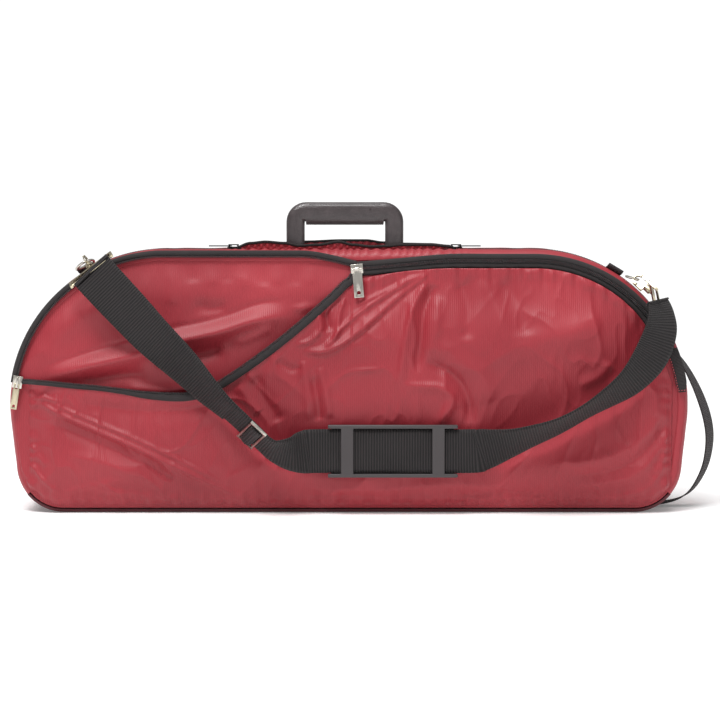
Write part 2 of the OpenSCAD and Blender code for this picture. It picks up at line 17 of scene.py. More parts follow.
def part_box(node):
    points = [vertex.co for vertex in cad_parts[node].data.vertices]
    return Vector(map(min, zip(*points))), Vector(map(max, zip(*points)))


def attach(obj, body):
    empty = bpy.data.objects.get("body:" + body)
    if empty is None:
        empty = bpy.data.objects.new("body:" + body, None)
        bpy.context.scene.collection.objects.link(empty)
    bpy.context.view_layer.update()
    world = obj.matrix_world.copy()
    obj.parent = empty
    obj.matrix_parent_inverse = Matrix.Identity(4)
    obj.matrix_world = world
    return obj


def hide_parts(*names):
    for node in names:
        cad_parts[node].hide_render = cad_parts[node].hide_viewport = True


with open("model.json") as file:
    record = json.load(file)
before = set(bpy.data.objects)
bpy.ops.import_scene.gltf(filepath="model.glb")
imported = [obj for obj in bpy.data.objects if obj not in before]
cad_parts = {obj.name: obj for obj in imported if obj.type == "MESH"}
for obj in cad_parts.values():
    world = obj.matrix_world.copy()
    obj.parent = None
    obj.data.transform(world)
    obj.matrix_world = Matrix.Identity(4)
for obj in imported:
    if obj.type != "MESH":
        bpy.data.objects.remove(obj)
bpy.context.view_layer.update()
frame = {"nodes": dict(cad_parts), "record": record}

# %% [markdown]
# ## The camera and the room
# A long lens far away keeps the long bag undistorted. It looks a few degrees down, as a person
# does at a bag on a table. The floor is a plain pale sheet and the light comes from big soft
# panels, so that the satin cloth shows long gentle highlights.

# %% Camera
def place_camera(focus, distance, rise_degrees, lens):
    data = bpy.data.cameras.new("camera")
    data.lens = lens
    camera = bpy.data.objects.new("camera", data)
    bpy.context.scene.collection.objects.link(camera)
    rise = radians(rise_degrees)
    camera.location = focus + distance * Vector((0, -cos(rise), sin(rise)))
    camera.rotation_euler = (focus - camera.location).to_track_quat("-Z", "Y").to_euler()
    bpy.context.scene.camera = camera
    return camera


camera = place_camera(Vector((0.0126, -0.075, 0.1772)), 2.6, 3.6, 113.0)
print("camera at", camera.location[:])


# %% Lights and world
def soft_light(name, place, target, width, height, power, tint=(1, 1, 1)):
    data = bpy.data.lights.new(name, "AREA")
    data.shape = "RECTANGLE"
    data.size = width
    data.size_y = height
    data.energy = power
    data.color = tint
    light = bpy.data.objects.new(name, data)
    bpy.context.scene.collection.objects.link(light)
    light.location = place
    light.rotation_euler = (Vector(target) - Vector(place)).to_track_quat("-Z", "Y").to_euler()
    return light


soft_light("key", (-0.55, -1.35, 2.25), (0, 0, 0.15), 0.9, 0.6, 44)
soft_light("fill", (1.8, -2.2, 0.8), (0, 0, 0.15), 1.4, 1.2, 6)
sky = bpy.data.lights.new("sky", "SUN")
sky.energy = 2.3
sky.angle = radians(50)
sky_light = bpy.data.objects.new("sky", sky)
bpy.context.scene.collection.objects.link(sky_light)
sky_light.rotation_euler = (radians(14), radians(-8), 0)


def make_world(seen, given):
    world = bpy.data.worlds.new("room")
    bpy.context.scene.world = world
    world.use_nodes = True
    tree = world.node_tree
    rays = tree.nodes.new("ShaderNodeLightPath")
    choice = tree.nodes.new("ShaderNodeMapRange")
    choice.inputs["To Min"].default_value = given
    choice.inputs["To Max"].default_value = seen
    tree.links.new(rays.outputs["Is Camera Ray"], choice.inputs["Value"])
    tree.links.new(choice.outputs["Result"], tree.nodes["Background"].inputs["Strength"])
    tree.nodes["Background"].inputs["Color"].default_value = (1, 1, 1, 1)


make_world(1.1, 0.36)
bpy.context.scene.view_settings.view_transform = "Standard"
print("lit by two soft panels and a wide sky")

# %% [markdown]
# ## Shader maths as plain expressions
# A node graph is easier to read as a formula. `Sock` wraps a socket and turns `+`, `*` and the
# rest into Math nodes; `Graph.node` makes any other node from its type, settings and inputs.

# %% Sockets that do sums
class Sock:
    def __init__(self, graph, socket):
        self.graph = graph
        self.socket = socket

    def maths(self, operation, *others):
        return self.graph.node("ShaderNodeMath", {"operation": operation}, self, *others)

    def __add__(self, other):
        return self.maths("ADD", other)

    def __radd__(self, other):
        return self.maths("ADD", other)

    def __mul__(self, other):
        return self.maths("MULTIPLY", other)

    def __rmul__(self, other):
        return self.maths("MULTIPLY", other)

    def __sub__(self, other):
        return self.maths("SUBTRACT", other)

    def __rsub__(self, other):
        return (self * -1.0) + other

    def __pow__(self, other):
        return self.maths("POWER", other)

    def sine(self):
        return self.maths("SINE")

    def clamped(self):
        return self.graph.node("ShaderNodeClamp", {}, self)


class Graph:
    def __init__(self, name):
        self.material = bpy.data.materials.new(name)
        self.material.use_nodes = True
        self.tree = self.material.node_tree
        self.shader = self.tree.nodes["Principled BSDF"]

    def link(self, value, socket):
        if isinstance(value, Sock):
            self.tree.links.new(value.socket, socket)
        else:
            socket.default_value = value

    def node(self, kind, settings, *values, output=0, **named):
        made = self.tree.nodes.new(kind)
        for key, value in settings.items():
            if key == "stops":
                self.set_stops(made, value)
            else:
                setattr(made, key, value)
        for number, value in enumerate(values):
            self.link(value, made.inputs[number])
        for key, value in named.items():
            self.link(value, made.inputs[key.replace("_", " ")])
        return Sock(self, made.outputs[output])

    def set_stops(self, ramp, stops):
        for number, (place, colour) in enumerate(stops):
            if number > 1:
                ramp.color_ramp.elements.new(place)
            ramp.color_ramp.elements[number].position = place
            ramp.color_ramp.elements[number].color = (*colour, 1)

    def place(self):
        return self.node("ShaderNodeTexCoord", {}, output="Object")

    def uv(self):
        return self.node("ShaderNodeTexCoord", {}, output="UV")

    def parts(self, vector):
        made = self.tree.nodes.new("ShaderNodeSeparateXYZ")
        self.tree.links.new(vector.socket, made.inputs[0])
        return [Sock(self, out) for out in made.outputs]

    def cloud(self, vector, scale, detail=3.0, roughness=0.5):
        return self.node("ShaderNodeTexNoise", {}, output="Fac", Vector=vector, Scale=scale,
            Detail=detail, Roughness=roughness)

    def blend(self, share, dark, light):
        return self.node("ShaderNodeValToRGB", {"stops": [(0.0, dark), (1.0, light)]}, share,
            output="Color")

    def bump(self, height, distance, strength=1.0, under=None):
        extra = {"Normal": under} if under is not None else {}
        return self.node("ShaderNodeBump", {}, output="Normal", Height=height,
            Distance=distance, Strength=strength, **extra)

    def set(self, **named):
        for key, value in named.items():
            self.link(value, self.shader.inputs[key.replace("_", " ")])
        return self.material


print("shader helper ready")


# %% [markdown]
# ## Finishes
# The bag is a ribbed satin nylon. Its ribs run up the cloth about two millimetres apart, and
# the light slides over them, so the colour shifts slowly from cherry to wine. The webbing has
# cross ribs that follow the strap, so it reads the strap's own UV map. Nothing is one flat
# colour: each finish gets fine relief, a slow drift of tone and a little wear.

# %% Ribbed nylon
def ribbed_nylon(name, dark, light, rib_axis=0):
    g = Graph(name)
    place = g.place()
    axes = g.parts(place)
    drift = g.cloud(place, 7.0, 2.0)
    grain = g.cloud(place, 900.0, 1.0)
    ribs = (axes[rib_axis] * (tau / 0.0023)).sine()
    weft = (axes[2 if rib_axis == 0 else 1] * (tau / 0.0011)).sine()
    tone = (drift * 1.3 - 0.35 + ribs * 0.13 + grain * 0.2).clamped()
    relief = ribs * 0.6 + weft * 0.16 + grain * 0.5
    g.set(Base_Color=g.blend(tone, dark, light), Roughness=0.44 + drift * 0.12)
    g.shader.inputs["Sheen Weight"].default_value = 0.12
    g.shader.inputs["Sheen Roughness"].default_value = 0.4
    g.shader.inputs["Sheen Tint"].default_value = (1.0, 0.62, 0.62, 1)
    g.shader.inputs["Specular IOR Level"].default_value = 0.42
    return g.set(Normal=g.bump(relief, 0.00016, 0.7))


nylon = ribbed_nylon("ribbed_nylon", (0.205, 0.0098, 0.0175), (0.345, 0.0265, 0.038))
nylon_side = ribbed_nylon("side_nylon", (0.205, 0.0098, 0.0175), (0.345, 0.0265, 0.038), rib_axis=1)
# Painted shade: a much darker copy of the ribbed nylon. It stands for the shadow that falls on the base and
# its bottom edge.
painted_shade_nylon = ribbed_nylon("base_nylon_painted_shade", (0.055, 0.004, 0.008), (0.10, 0.008, 0.014))


# %% Webbing, tape and binding
def woven_black(name, pitch, tone=0.012, shine=0.6, depth=0.0005):
    g = Graph(name)
    along, across, _ = g.parts(g.uv())
    ribs = (along * (tau / pitch)).sine()
    twill = ((along + across) * (tau / (pitch * 0.37))).sine()
    fluff = g.cloud(g.place(), 650.0, 2.0)
    wear = g.cloud(g.place(), 22.0, 3.0)
    share = (ribs * 0.4 + twill * 0.1 + fluff * 0.35 + wear * 0.4 + 0.1).clamped()
    dark = (tone * 0.5, tone * 0.46, tone * 0.47)
    light = (tone * 2.6, tone * 2.2, tone * 2.25)
    g.set(Base_Color=g.blend(share, dark, light), Roughness=shine + fluff * 0.2)
    g.shader.inputs["Sheen Weight"].default_value = 0.05
    g.shader.inputs["Specular IOR Level"].default_value = 0.2
    return g.set(Normal=g.bump(ribs * 0.8 + twill * 0.15 + fluff * 0.3, depth, 0.8))


webbing = woven_black("strap_webbing", 0.0031)
fine_webbing = woven_black("end_webbing", 0.0022, tone=0.024)
zip_cloth = woven_black("zip_tape", 0.0012, tone=0.017, depth=0.00015)
binding = woven_black("elastic_binding", 0.0016, tone=0.015, depth=0.0002)


# %% Metals
def metal(name, colour, shine, worn=0.12):
    g = Graph(name)
    place = g.place()
    smear = g.cloud(place, 160.0, 3.0)
    scratch = g.cloud(g.node("ShaderNodeMapping", {}, output=0, Vector=place,
        Scale=(900.0, 900.0, 60.0)), 1.0, 2.0)
    dull = tuple(part * 0.72 for part in colour)
    g.set(Base_Color=g.blend((smear * 1.3 - 0.1).clamped(), dull, colour), Metallic=1.0)
    g.set(Roughness=(shine + smear * worn + scratch * 0.08).clamped())
    return g.set(Normal=g.bump(scratch + smear, 0.00003, 0.4))


nickel = metal("polished_nickel", (0.62, 0.59, 0.53), 0.2)
pale_brass = metal("pale_brass", (0.60, 0.53, 0.38), 0.24)
zinc = metal("zinc_plate", (0.62, 0.62, 0.62), 0.36)
black_metal = metal("black_enamel", (0.02, 0.02, 0.021), 0.55)


# %% Leather, plastics, foam and board
def leather():
    g = Graph("case_leather")
    place = g.place()
    pebble = g.node("ShaderNodeTexVoronoi", {"feature": "DISTANCE_TO_EDGE"}, output="Distance",
        Vector=place, Scale=620.0)
    crease = g.cloud(place, 90.0, 5.0, 0.65)
    polish = g.cloud(place, 30.0, 2.0)
    share = (crease * 0.9 + pebble * 0.9 - 0.2).clamped()
    g.set(Base_Color=g.blend(share, (0.022, 0.017, 0.018), (0.085, 0.068, 0.070)))
    g.set(Roughness=0.22 + polish * 0.2)
    return g.set(Normal=g.bump(pebble * 1.6 + crease * 0.7, 0.00022, 0.7))


def moulded(name, colour, shine, grain_scale=1500.0):
    g = Graph(name)
    place = g.place()
    grain = g.cloud(place, grain_scale, 2.0)
    rub = g.cloud(place, 40.0, 3.0)
    light = tuple(min(1.0, part * 1.35) for part in colour)
    g.set(Base_Color=g.blend((rub * 0.8 + grain * 0.3).clamped(), colour, light))
    g.set(Roughness=shine + rub * 0.14)
    return g.set(Normal=g.bump(grain, 0.00008, 0.6))


case_leather = leather()
pad_plastic = moulded("charcoal_plastic", (0.031, 0.026, 0.027), 0.46)
coil_nylon = moulded("zip_coil", (0.020, 0.019, 0.020), 0.36)
foam = moulded("liner_foam", (0.30, 0.30, 0.31), 0.85, 700.0)
board = moulded("stiff_board", (0.10, 0.10, 0.105), 0.6)
plywood = moulded("packer_wood", (0.42, 0.29, 0.17), 0.6, 300.0)
thread_red = moulded("red_thread", (0.33, 0.05, 0.06), 0.7)
thread_dark = moulded("dark_thread", (0.05, 0.045, 0.045), 0.6)
print("finishes made:", len(bpy.data.materials))


# %% [markdown]
# ## Floor
# One big sheet under the bag. It is as pale as the background, so only the contact shadow shows.

# %% Floor
def make_floor():
    made = bmesh.new()
    bmesh.ops.create_grid(made, x_segments=1, y_segments=1, size=30)
    data = bpy.data.meshes.new("floor")
    made.to_mesh(data)
    made.free()
    g = Graph("pale_floor")
    mottle = g.cloud(g.place(), 3.0)
    g.set(Base_Color=g.blend(mottle, (0.90, 0.90, 0.90), (0.93, 0.93, 0.93)), Roughness=0.8)
    g.shader.inputs["Emission Color"].default_value = (1, 1, 1, 1)
    g.shader.inputs["Emission Strength"].default_value = 0.14
    data.materials.append(g.material)
    floor_sheet = bpy.data.objects.new("floor", data)
    bpy.context.scene.collection.objects.link(floor_sheet)


make_floor()

# %% [markdown]
# ## Helpers that make pieces
# Nearly every soft piece here is a sheet: a grid of cloth laid over a shape. `sheet_piece`
# starts from bmesh's grid operator and moves each vertex to `shape(u, v)`, where u and v run
# from 0 to 1 along the grid. The grid's UV map is set to real lengths, so that a weave that
# reads it keeps its scale however the piece bends.

# %% Finish a bmesh as a piece
def piece_from(made, name, material, body, replaces=()):
    bmesh.ops.recalc_face_normals(made, faces=made.faces)
    data = bpy.data.meshes.new(name)
    made.to_mesh(data)
    made.free()
    for polygon in data.polygons:
        polygon.use_smooth = True
    data.materials.append(material)
    made_object = bpy.data.objects.new(name, data)
    bpy.context.scene.collection.objects.link(made_object)
    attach(made_object, body)
    if replaces:
        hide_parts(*replaces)
    return made_object


def grid_of(shape, along, across, length, width):
    made = bmesh.new()
    bmesh.ops.create_grid(made, x_segments=along, y_segments=across, size=0.5, calc_uvs=False)
    uv_layer = made.loops.layers.uv.new("lengths")
    for face in made.faces:
        for loop in face.loops:
            loop[uv_layer].uv = ((loop.vert.co.x + 0.5) * length, (loop.vert.co.y + 0.5) * width)
    for vert in made.verts:
        vert.co = shape(vert.co.x + 0.5, vert.co.y + 0.5)
    return made


def thicken(piece, thickness, offset=-1.0):
    solid = piece.modifiers.new("thickness", "SOLIDIFY")
    solid.thickness = thickness
    solid.offset = offset
    solid.use_even_offset = True
    return piece


def face_towards(made, direction):
    total = Vector((0, 0, 0))
    for face in made.faces:
        face.normal_update()
        total += face.normal * face.calc_area()
    if total.dot(Vector(direction)) < 0:
        bmesh.ops.reverse_faces(made, faces=made.faces)


def sheet_piece(name, shape, along, across, length, width, material, body,
        replaces=(), thickness=0.0008, outward=(0, -1, 0)):
    made = grid_of(shape, along, across, length, width)
    bmesh.ops.remove_doubles(made, verts=made.verts, dist=0.000001)
    face_towards(made, outward)
    data = bpy.data.meshes.new(name)
    made.to_mesh(data)
    made.free()
    for polygon in data.polygons:
        polygon.use_smooth = True
    data.materials.append(material)
    cloth = bpy.data.objects.new(name, data)
    bpy.context.scene.collection.objects.link(cloth)
    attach(cloth, body)
    if replaces:
        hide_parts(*replaces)
    if thickness:
        thicken(cloth, thickness)
    print(name, len(data.polygons), "faces")
    return cloth


# %% Smooth lines through points
def smooth_line(points, steps=8, closed=False):
    points = [Vector(point) for point in points]
    count = len(points)
    line = []
    for number in range(count if closed else count - 1):
        if closed:
            a, b, c, d = (points[(number + shift) % count] for shift in (-1, 0, 1, 2))
        else:
            a, b = points[max(number - 1, 0)], points[number]
            c, d = points[number + 1], points[min(number + 2, count - 1)]
        for step in range(steps):
            t = step / steps
            line.append(0.5 * ((2 * b) + (c - a) * t + (2 * a - 5 * b + 4 * c - d) * t * t
                + (3 * b - 3 * c + d - a) * t * t * t))
    if not closed:
        line.append(points[-1])
    return line


class Line:
    """A line through points that can be asked for the point at a share of its length."""

    def __init__(self, points):
        self.points = [Vector(point) for point in points]
        self.lengths = [0.0]
        for before, after in zip(self.points, self.points[1:]):
            self.lengths.append(self.lengths[-1] + (after - before).length)
        self.length = self.lengths[-1]

    def find(self, share):
        want = min(max(share, 0.0), 1.0) * self.length
        low, high = 0, len(self.lengths) - 1
        while high - low > 1:
            middle = (low + high) // 2
            if self.lengths[middle] <= want:
                low = middle
            else:
                high = middle
        span = self.lengths[high] - self.lengths[low]
        return low, high, (want - self.lengths[low]) / span if span else 0.0

    def at(self, share):
        low, high, part = self.find(share)
        return self.points[low].lerp(self.points[high], part)

    def way(self, share):
        return (self.at(share + 0.004) - self.at(share - 0.004)).normalized()


def ease(value):
    value = min(max(value, 0.0), 1.0)
    return value * value * (3 - 2 * value)


def bell(distance, width):
    return exp(-(distance / width) ** 2)


def soft_limit(value, limit, blend):
    """The smaller of two values, rounded off where they meet."""
    meet = max(blend - abs(value - limit), 0.0) / blend
    return min(value, limit) - meet * meet * blend / 4


def ripple(x, y, z, scale):
    return noise(Vector((x * scale, y * scale, z * scale)))


def tube_piece(name, points, radius, material, body, replaces=(), closed=False, sides=3):
    data = bpy.data.curves.new(name, "CURVE")
    data.dimensions = "3D"
    data.bevel_depth = radius
    data.bevel_resolution = sides
    data.use_fill_caps = True
    spline = data.splines.new("POLY")
    spline.points.add(len(points) - 1)
    for place, point in zip(spline.points, points):
        place.co = (*point, 1)
    spline.use_cyclic_u = closed
    data.materials.append(material)
    tube = bpy.data.objects.new(name, data)
    bpy.context.scene.collection.objects.link(tube)
    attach(tube, body)
    if replaces:
        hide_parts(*replaces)
    return tube


print("piece helpers ready")


# %% [markdown]
# ## The outline that everything follows
# Seen from the front the bag is a half-moon: two big shoulder arcs, two tight bottom corners and
# straight stretches between them. A `Track` holds such a line with its outward normals, so a
# piece can ask for the point at any share of the length, drawn in or out by any shift.

# %% Driving sizes
half_length = 0.392
height = 0.304
shoulder_radius = 0.180
corner_radius = 0.055
shoulder_x = half_length - shoulder_radius
shoulder_z = height - shoulder_radius
corner_x = half_length - 0.007 - corner_radius
parting_y = -0.045
front_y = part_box("front_wall")[0].y
back_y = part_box("rear_panel")[1].y
zip_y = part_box("pocket_zip_tape_upper")[0].y
pocket_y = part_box("pocket_panel")[0].y
base_rise = 0.020
flank = (atan2(corner_radius - shoulder_z, corner_x - shoulder_x)
    + acos((shoulder_radius - corner_radius)
        / hypot(corner_x - shoulder_x, corner_radius - shoulder_z)))
print("front", front_y, "back", back_y, "zip", zip_y, "pocket", pocket_y)


# %% Tracks
def arc(centre_x, centre_z, radius, start, end, steps=24):
    angles = [start + (end - start) * step / steps for step in range(steps + 1)]
    return [Vector((centre_x + radius * cos(a), 0, centre_z + radius * sin(a))) for a in angles]


class Track:
    """A line in the XZ plane from a function that gives its points at any outward shift."""

    def __init__(self, points_at):
        inner, outer = points_at(0.0), points_at(0.001)
        self.line = Line(inner)
        self.normals = [(far - near).normalized() for near, far in zip(inner, outer)]

    def at(self, share, shift=0.0, y=0.0):
        low, high, part = self.line.find(share)
        point = self.line.points[low].lerp(self.line.points[high], part)
        normal = self.normals[low].lerp(self.normals[high], part)
        return Vector((point.x + normal.x * shift, y, point.z + normal.z * shift))

    def share_where(self, test):
        steps = 4000
        for step in range(steps + 1):
            if test(self.at(step / steps)):
                return step / steps
        return 1.0


def mirrored(points):
    return [Vector((-point.x, point.y, point.z)) for point in reversed(points)]


def half_moon(shift):
    right = (arc(shoulder_x, shoulder_z, shoulder_radius + shift, pi / 2, flank, 40)
        + arc(corner_x, corner_radius, corner_radius + shift, flank, -pi / 2, 24))
    return mirrored(right) + right


rim = Track(half_moon)
arch_start = rim.share_where(lambda point: point.z > base_rise + 0.0005)


def under_side(shift):
    left = [rim.at(arch_start * (1 - step / 20), shift) for step in range(21)]
    return left + [Vector((-point.x, 0, point.z)) for point in reversed(left)]


sole = Track(under_side)
print("arch starts at", round(arch_start, 4), "sole", round(sole.line.length, 3))


def top_at(x, inset):
    reach = max(abs(x) - shoulder_x, 0.0)
    return shoulder_z + sqrt(max((shoulder_radius - inset) ** 2 - reach * reach, 0.0))


def bottom_at(x, inset):
    big, small, reach = shoulder_radius - inset, corner_radius - inset, abs(x)
    small_end = corner_x + small * cos(flank)
    big_end = shoulder_x + big * cos(flank)
    if reach <= corner_x:
        return inset
    if reach <= small_end:
        return corner_radius - sqrt(max(small * small - (reach - corner_x) ** 2, 0.0))
    if reach <= big_end:
        low, high = corner_radius + small * sin(flank), shoulder_z + big * sin(flank)
        return low + (high - low) * (reach - small_end) / (big_end - small_end)
    return shoulder_z - sqrt(max(big * big - (reach - shoulder_x) ** 2, 0.0))


# %% The front zip's line
left_zip_radius = 0.171
right_zip_radius = 0.167
slider_x, slider_z = 0.009, 0.282


def closed_zip(shift):
    ramp = [Vector((slider_x, 0, slider_z + shift)),
        Vector((slider_x + 0.053, 0, slider_z + 0.0045 + shift)),
        Vector((slider_x + 0.106, 0, slider_z + 0.009 + shift)),
        Vector((0.165, 0, shoulder_z + right_zip_radius + shift))]
    return smooth_line(ramp + arc(shoulder_x, shoulder_z, right_zip_radius + shift,
        pi / 2, radians(22), 20), 4)


def open_zip(shift):
    bend = [Vector((-0.14, 0, shoulder_z + left_zip_radius + shift)),
        Vector((-0.075, 0, shoulder_z + left_zip_radius + shift)),
        Vector((-0.045, 0, shoulder_z + left_zip_radius - 0.0006 + shift)),
        Vector((-0.018, 0, slider_z + 0.0075 + shift)),
        Vector((slider_x, 0, slider_z + 0.0008 + shift))]
    return smooth_line(arc(-shoulder_x, shoulder_z, left_zip_radius + shift,
        radians(171), pi / 2, 20) + bend, 4)


closed_track = Track(closed_zip)
open_track = Track(open_zip)
print("open zip", round(open_track.line.length, 3), "closed", round(closed_track.line.length, 3))

# %% The mouth of the open pocket
mouth_points = smooth_line([(-0.376, 0, 0.1525), (-0.360, 0, 0.1527), (-0.344, 0, 0.1515), (-0.315, 0, 0.1485),
    (-0.286, 0, 0.146), (-0.256, 0, 0.142), (-0.229, 0, 0.138), (-0.194, 0, 0.136),
    (-0.172, 0, 0.139), (-0.154, 0, 0.146), (-0.114, 0, 0.172), (-0.068, 0, 0.207),
    (-0.022, 0, 0.247), (-0.006, 0, 0.263), (0.002, 0, 0.2685), (0.0058, 0, 0.2745)], 8)
mouth_line = Line(mouth_points)


def mouth_at(x):
    for before, after in zip(mouth_points, mouth_points[1:]):
        if before.x <= x <= after.x:
            return before.z + (after.z - before.z) * (x - before.x) / (after.x - before.x)
    return mouth_points[0].z if x < mouth_points[0].x else mouth_points[-1].z


# %% [markdown]
# ## Folds
# A fold in thin nylon is a long soft ridge that fades out at both ends, with a sharper lit side
# and a shaded hollow beside it. `Fold` keeps its two ends, its width and its height, and gives
# the lift that it adds at a point. Laying out a dozen one by one puts the light where the real
# cloth has it, which a simulation alone would not.

# %% Fold helper
class Fold:
    """A ridge (or a hollow, where lift is negative) along a smooth path, in millimetres.
    One side may be narrower than the other; beyond its ends it fades away."""

    def __init__(self, path, width, lift, other=None):
        line = smooth_line([(x / 1000, 0, z / 1000) for x, z in path], 4)
        self.points = [(point.x, point.z) for point in line]
        self.width = width / 1000
        self.other = (other or width) / 1000
        self.lift = lift / 1000
        reach = 2.6 * max(self.width, self.other)
        self.low = (min(x for x, _ in self.points) - reach, min(z for _, z in self.points) - reach)
        self.high = (max(x for x, _ in self.points) + reach, max(z for _, z in self.points) + reach)
        self.count = len(self.points) - 1

    def at(self, x, z):
        if not (self.low[0] < x < self.high[0] and self.low[1] < z < self.high[1]):
            return 0.0
        best, side, share = 1.0, 0.0, 0.0
        for number in range(self.count):
            (ax, az), (bx, bz) = self.points[number], self.points[number + 1]
            rx, rz = bx - ax, bz - az
            part = ((x - ax) * rx + (z - az) * rz) / (rx * rx + rz * rz)
            part = min(max(part, 0.0), 1.0)
            dx, dz = x - ax - rx * part, z - az - rz * part
            gap = dx * dx + dz * dz
            if gap < best:
                lean = (rx * dz - rz * dx) / sqrt((rx * rx + rz * rz) * gap + 1e-18)
                best, side, share = gap, lean, (number + part) / self.count
        width = self.other + (self.width - self.other) * (0.5 + 0.5 * side)
        fade = ease(share / 0.22 + 0.1) * ease((1 - share) / 0.22 + 0.1)
        return self.lift * fade * exp(-abs(best / (width * width)) ** 0.85)


def folds_at(folds, x, z):
    return sum(fold.at(x, z) for fold in folds)


# %% Fine creases
def crumple(x, z, seed):
    """Fine creases: the lines where a noise changes sign, pulled out along the cloth's hang."""
    bent = noise(Vector((x * 9, z * 7, seed)))
    ridge = 1 - abs(noise(Vector((x * 24 + bent * 2.2, z * 13 + bent * 1.4, seed + 4))))
    return max(ridge, 0.0) ** 7


# %% Folds in the pocket
pocket_folds = [
    # The long double crease at the lower left
    Fold([(-358, 132), (-332, 117), (-286, 96), (-240, 76), (-171, 42), (-120, 18)], 4.0, 4.4, 3.0),
    Fold([(-344, 131), (-300, 111), (-240, 86), (-180, 56), (-140, 34)], 2.6, 2.8),
    Fold([(-350, 110), (-286, 82), (-240, 62), (-165, 24)], 8.0, -4.4),
    Fold([(-330, 70), (-280, 60), (-235, 40), (-205, 22)], 7.0, 2.8),
    Fold([(-300, 30), (-240, 22), (-190, 14)], 5.0, 2.2),
    Fold([(-60, 32), (20, 26), (110, 34), (190, 30)], 8.0, 2.8),
    # Pulled folds from the zip down to the mouth
    Fold([(92, 277), (60, 252), (30, 226), (0, 202), (-28, 188), (-54, 189)], 3.4, 5.2, 5.0),
    Fold([(84, 277), (50, 257), (18, 237), (-8, 215), (-20, 200)], 2.4, 3.4),
    Fold([(76, 275), (40, 256), (8, 240)], 2.2, 2.4),
    Fold([(88, 272), (56, 247), (26, 219), (-6, 193)], 4.0, -3.4),
    Fold([(94, 274), (76, 246), (67, 215), (61, 180), (58, 148)], 5.0, 5.6, 4.0),
    Fold([(99, 266), (86, 236), (82, 200), (76, 160)], 6.0, -5.2),
    Fold([(102, 252), (99, 214), (93, 184)], 6.0, 3.0),
    # The S above the pad
    Fold([(60, 150), (85, 149), (105, 147), (118, 135), (113, 119), (98, 104)], 4.0, 5.4, 6.0),
    Fold([(86, 178), (110, 167), (128, 151), (137, 130), (140, 104)], 7.5, -6.4),
    Fold([(98, 200), (125, 181), (152, 160), (162, 128)], 9.0, 4.2),
    # Soft light and dark towards the right
    Fold([(128, 270), (136, 236), (133, 200)], 9.0, -3.6),
    Fold([(150, 274), (166, 246), (176, 216), (181, 190)], 10.0, 3.0),
    Fold([(172, 270), (196, 238), (200, 205)], 11.0, -3.2),
    Fold([(158, 176), (200, 194), (245, 208), (292, 220)], 15.0, 5.2),
    # Beside the mouth
    Fold([(-20, 258), (-36, 238), (-32, 215), (-45, 200), (-62, 196)], 3.2, 3.6),
    Fold([(-14, 256), (-26, 234), (-22, 210)], 4.5, -5.0),
    Fold([(-4, 252), (-11, 230), (-15, 206), (-30, 192)], 2.8, 3.4),
    Fold([(-84, 178), (-66, 168), (-52, 172)], 5.0, -3.0),
    Fold([(-56, 178), (-48, 150), (-46, 108)], 6.0, 3.4),
    Fold([(-34, 172), (-26, 142), (-22, 110)], 5.0, 3.6),
    Fold([(-42, 160), (-36, 130), (-34, 108)], 4.0, -3.2),
    Fold([(-110, 160), (-92, 130), (-80, 106)], 8.0, -3.6),
    Fold([(-128, 150), (-112, 128), (-104, 116)], 6.0, 3.0),
    # Under the sagging edge, and along the bottom
    Fold([(-310, 128), (-250, 120), (-190, 120), (-150, 130)], 9.0, -4.4, 14.0),
    Fold([(-168, 112), (-146, 74), (-130, 46)], 13.0, -3.4),
    Fold([(-112, 62), (-60, 46), (0, 38), (60, 40)], 13.0, 3.0),
    Fold([(-215, 60), (-196, 44), (-188, 18)], 4.0, 1.6),
    Fold([(-330, 24), (-290, 34), (-250, 42)], 4.0, 1.8),
    Fold([(-60, 16), (0, 22), (60, 15)], 6.0, -2.0),
    Fold([(120, 18), (180, 26), (240, 18)], 6.0, -2.2),
    # Arcs at the lower right
    Fold([(236, 58), (300, 68), (346, 98), (368, 134)], 7.0, 3.2),
    Fold([(244, 44), (312, 54), (352, 88), (368, 116)], 6.0, -3.0),
    Fold([(250, 30), (320, 42), (358, 78), (368, 100)], 6.0, 3.0),
    Fold([(290, 16), (340, 28), (364, 60)], 4.0, 2.4),
    Fold([(300, 176), (286, 160), (262, 148)], 7.0, 3.4),
    Fold([(340, 152), (352, 138), (352, 112)], 4.0, 2.4),
    # Puckers along the two end seams
    Fold([(-376, 130), (-352, 135), (-330, 130)], 2.6, 2.4),
    Fold([(-374, 112), (-358, 130), (-346, 140)], 3.0, 2.2),
    Fold([(-336, 140), (-333, 128), (-335, 118)], 2.2, 1.8),
    Fold([(-322, 138), (-312, 122), (-318, 112)], 2.6, 1.6),
    Fold([(-372, 92), (-360, 70), (-346, 56)], 4.0, 2.0),
    Fold([(-371, 62), (-352, 40), (-336, 26)], 3.0, 2.2),
    Fold([(364, 146), (368, 126), (358, 96)], 3.0, 2.0),
    Fold([(370, 92), (362, 66), (350, 46)], 3.4, 2.2),
]

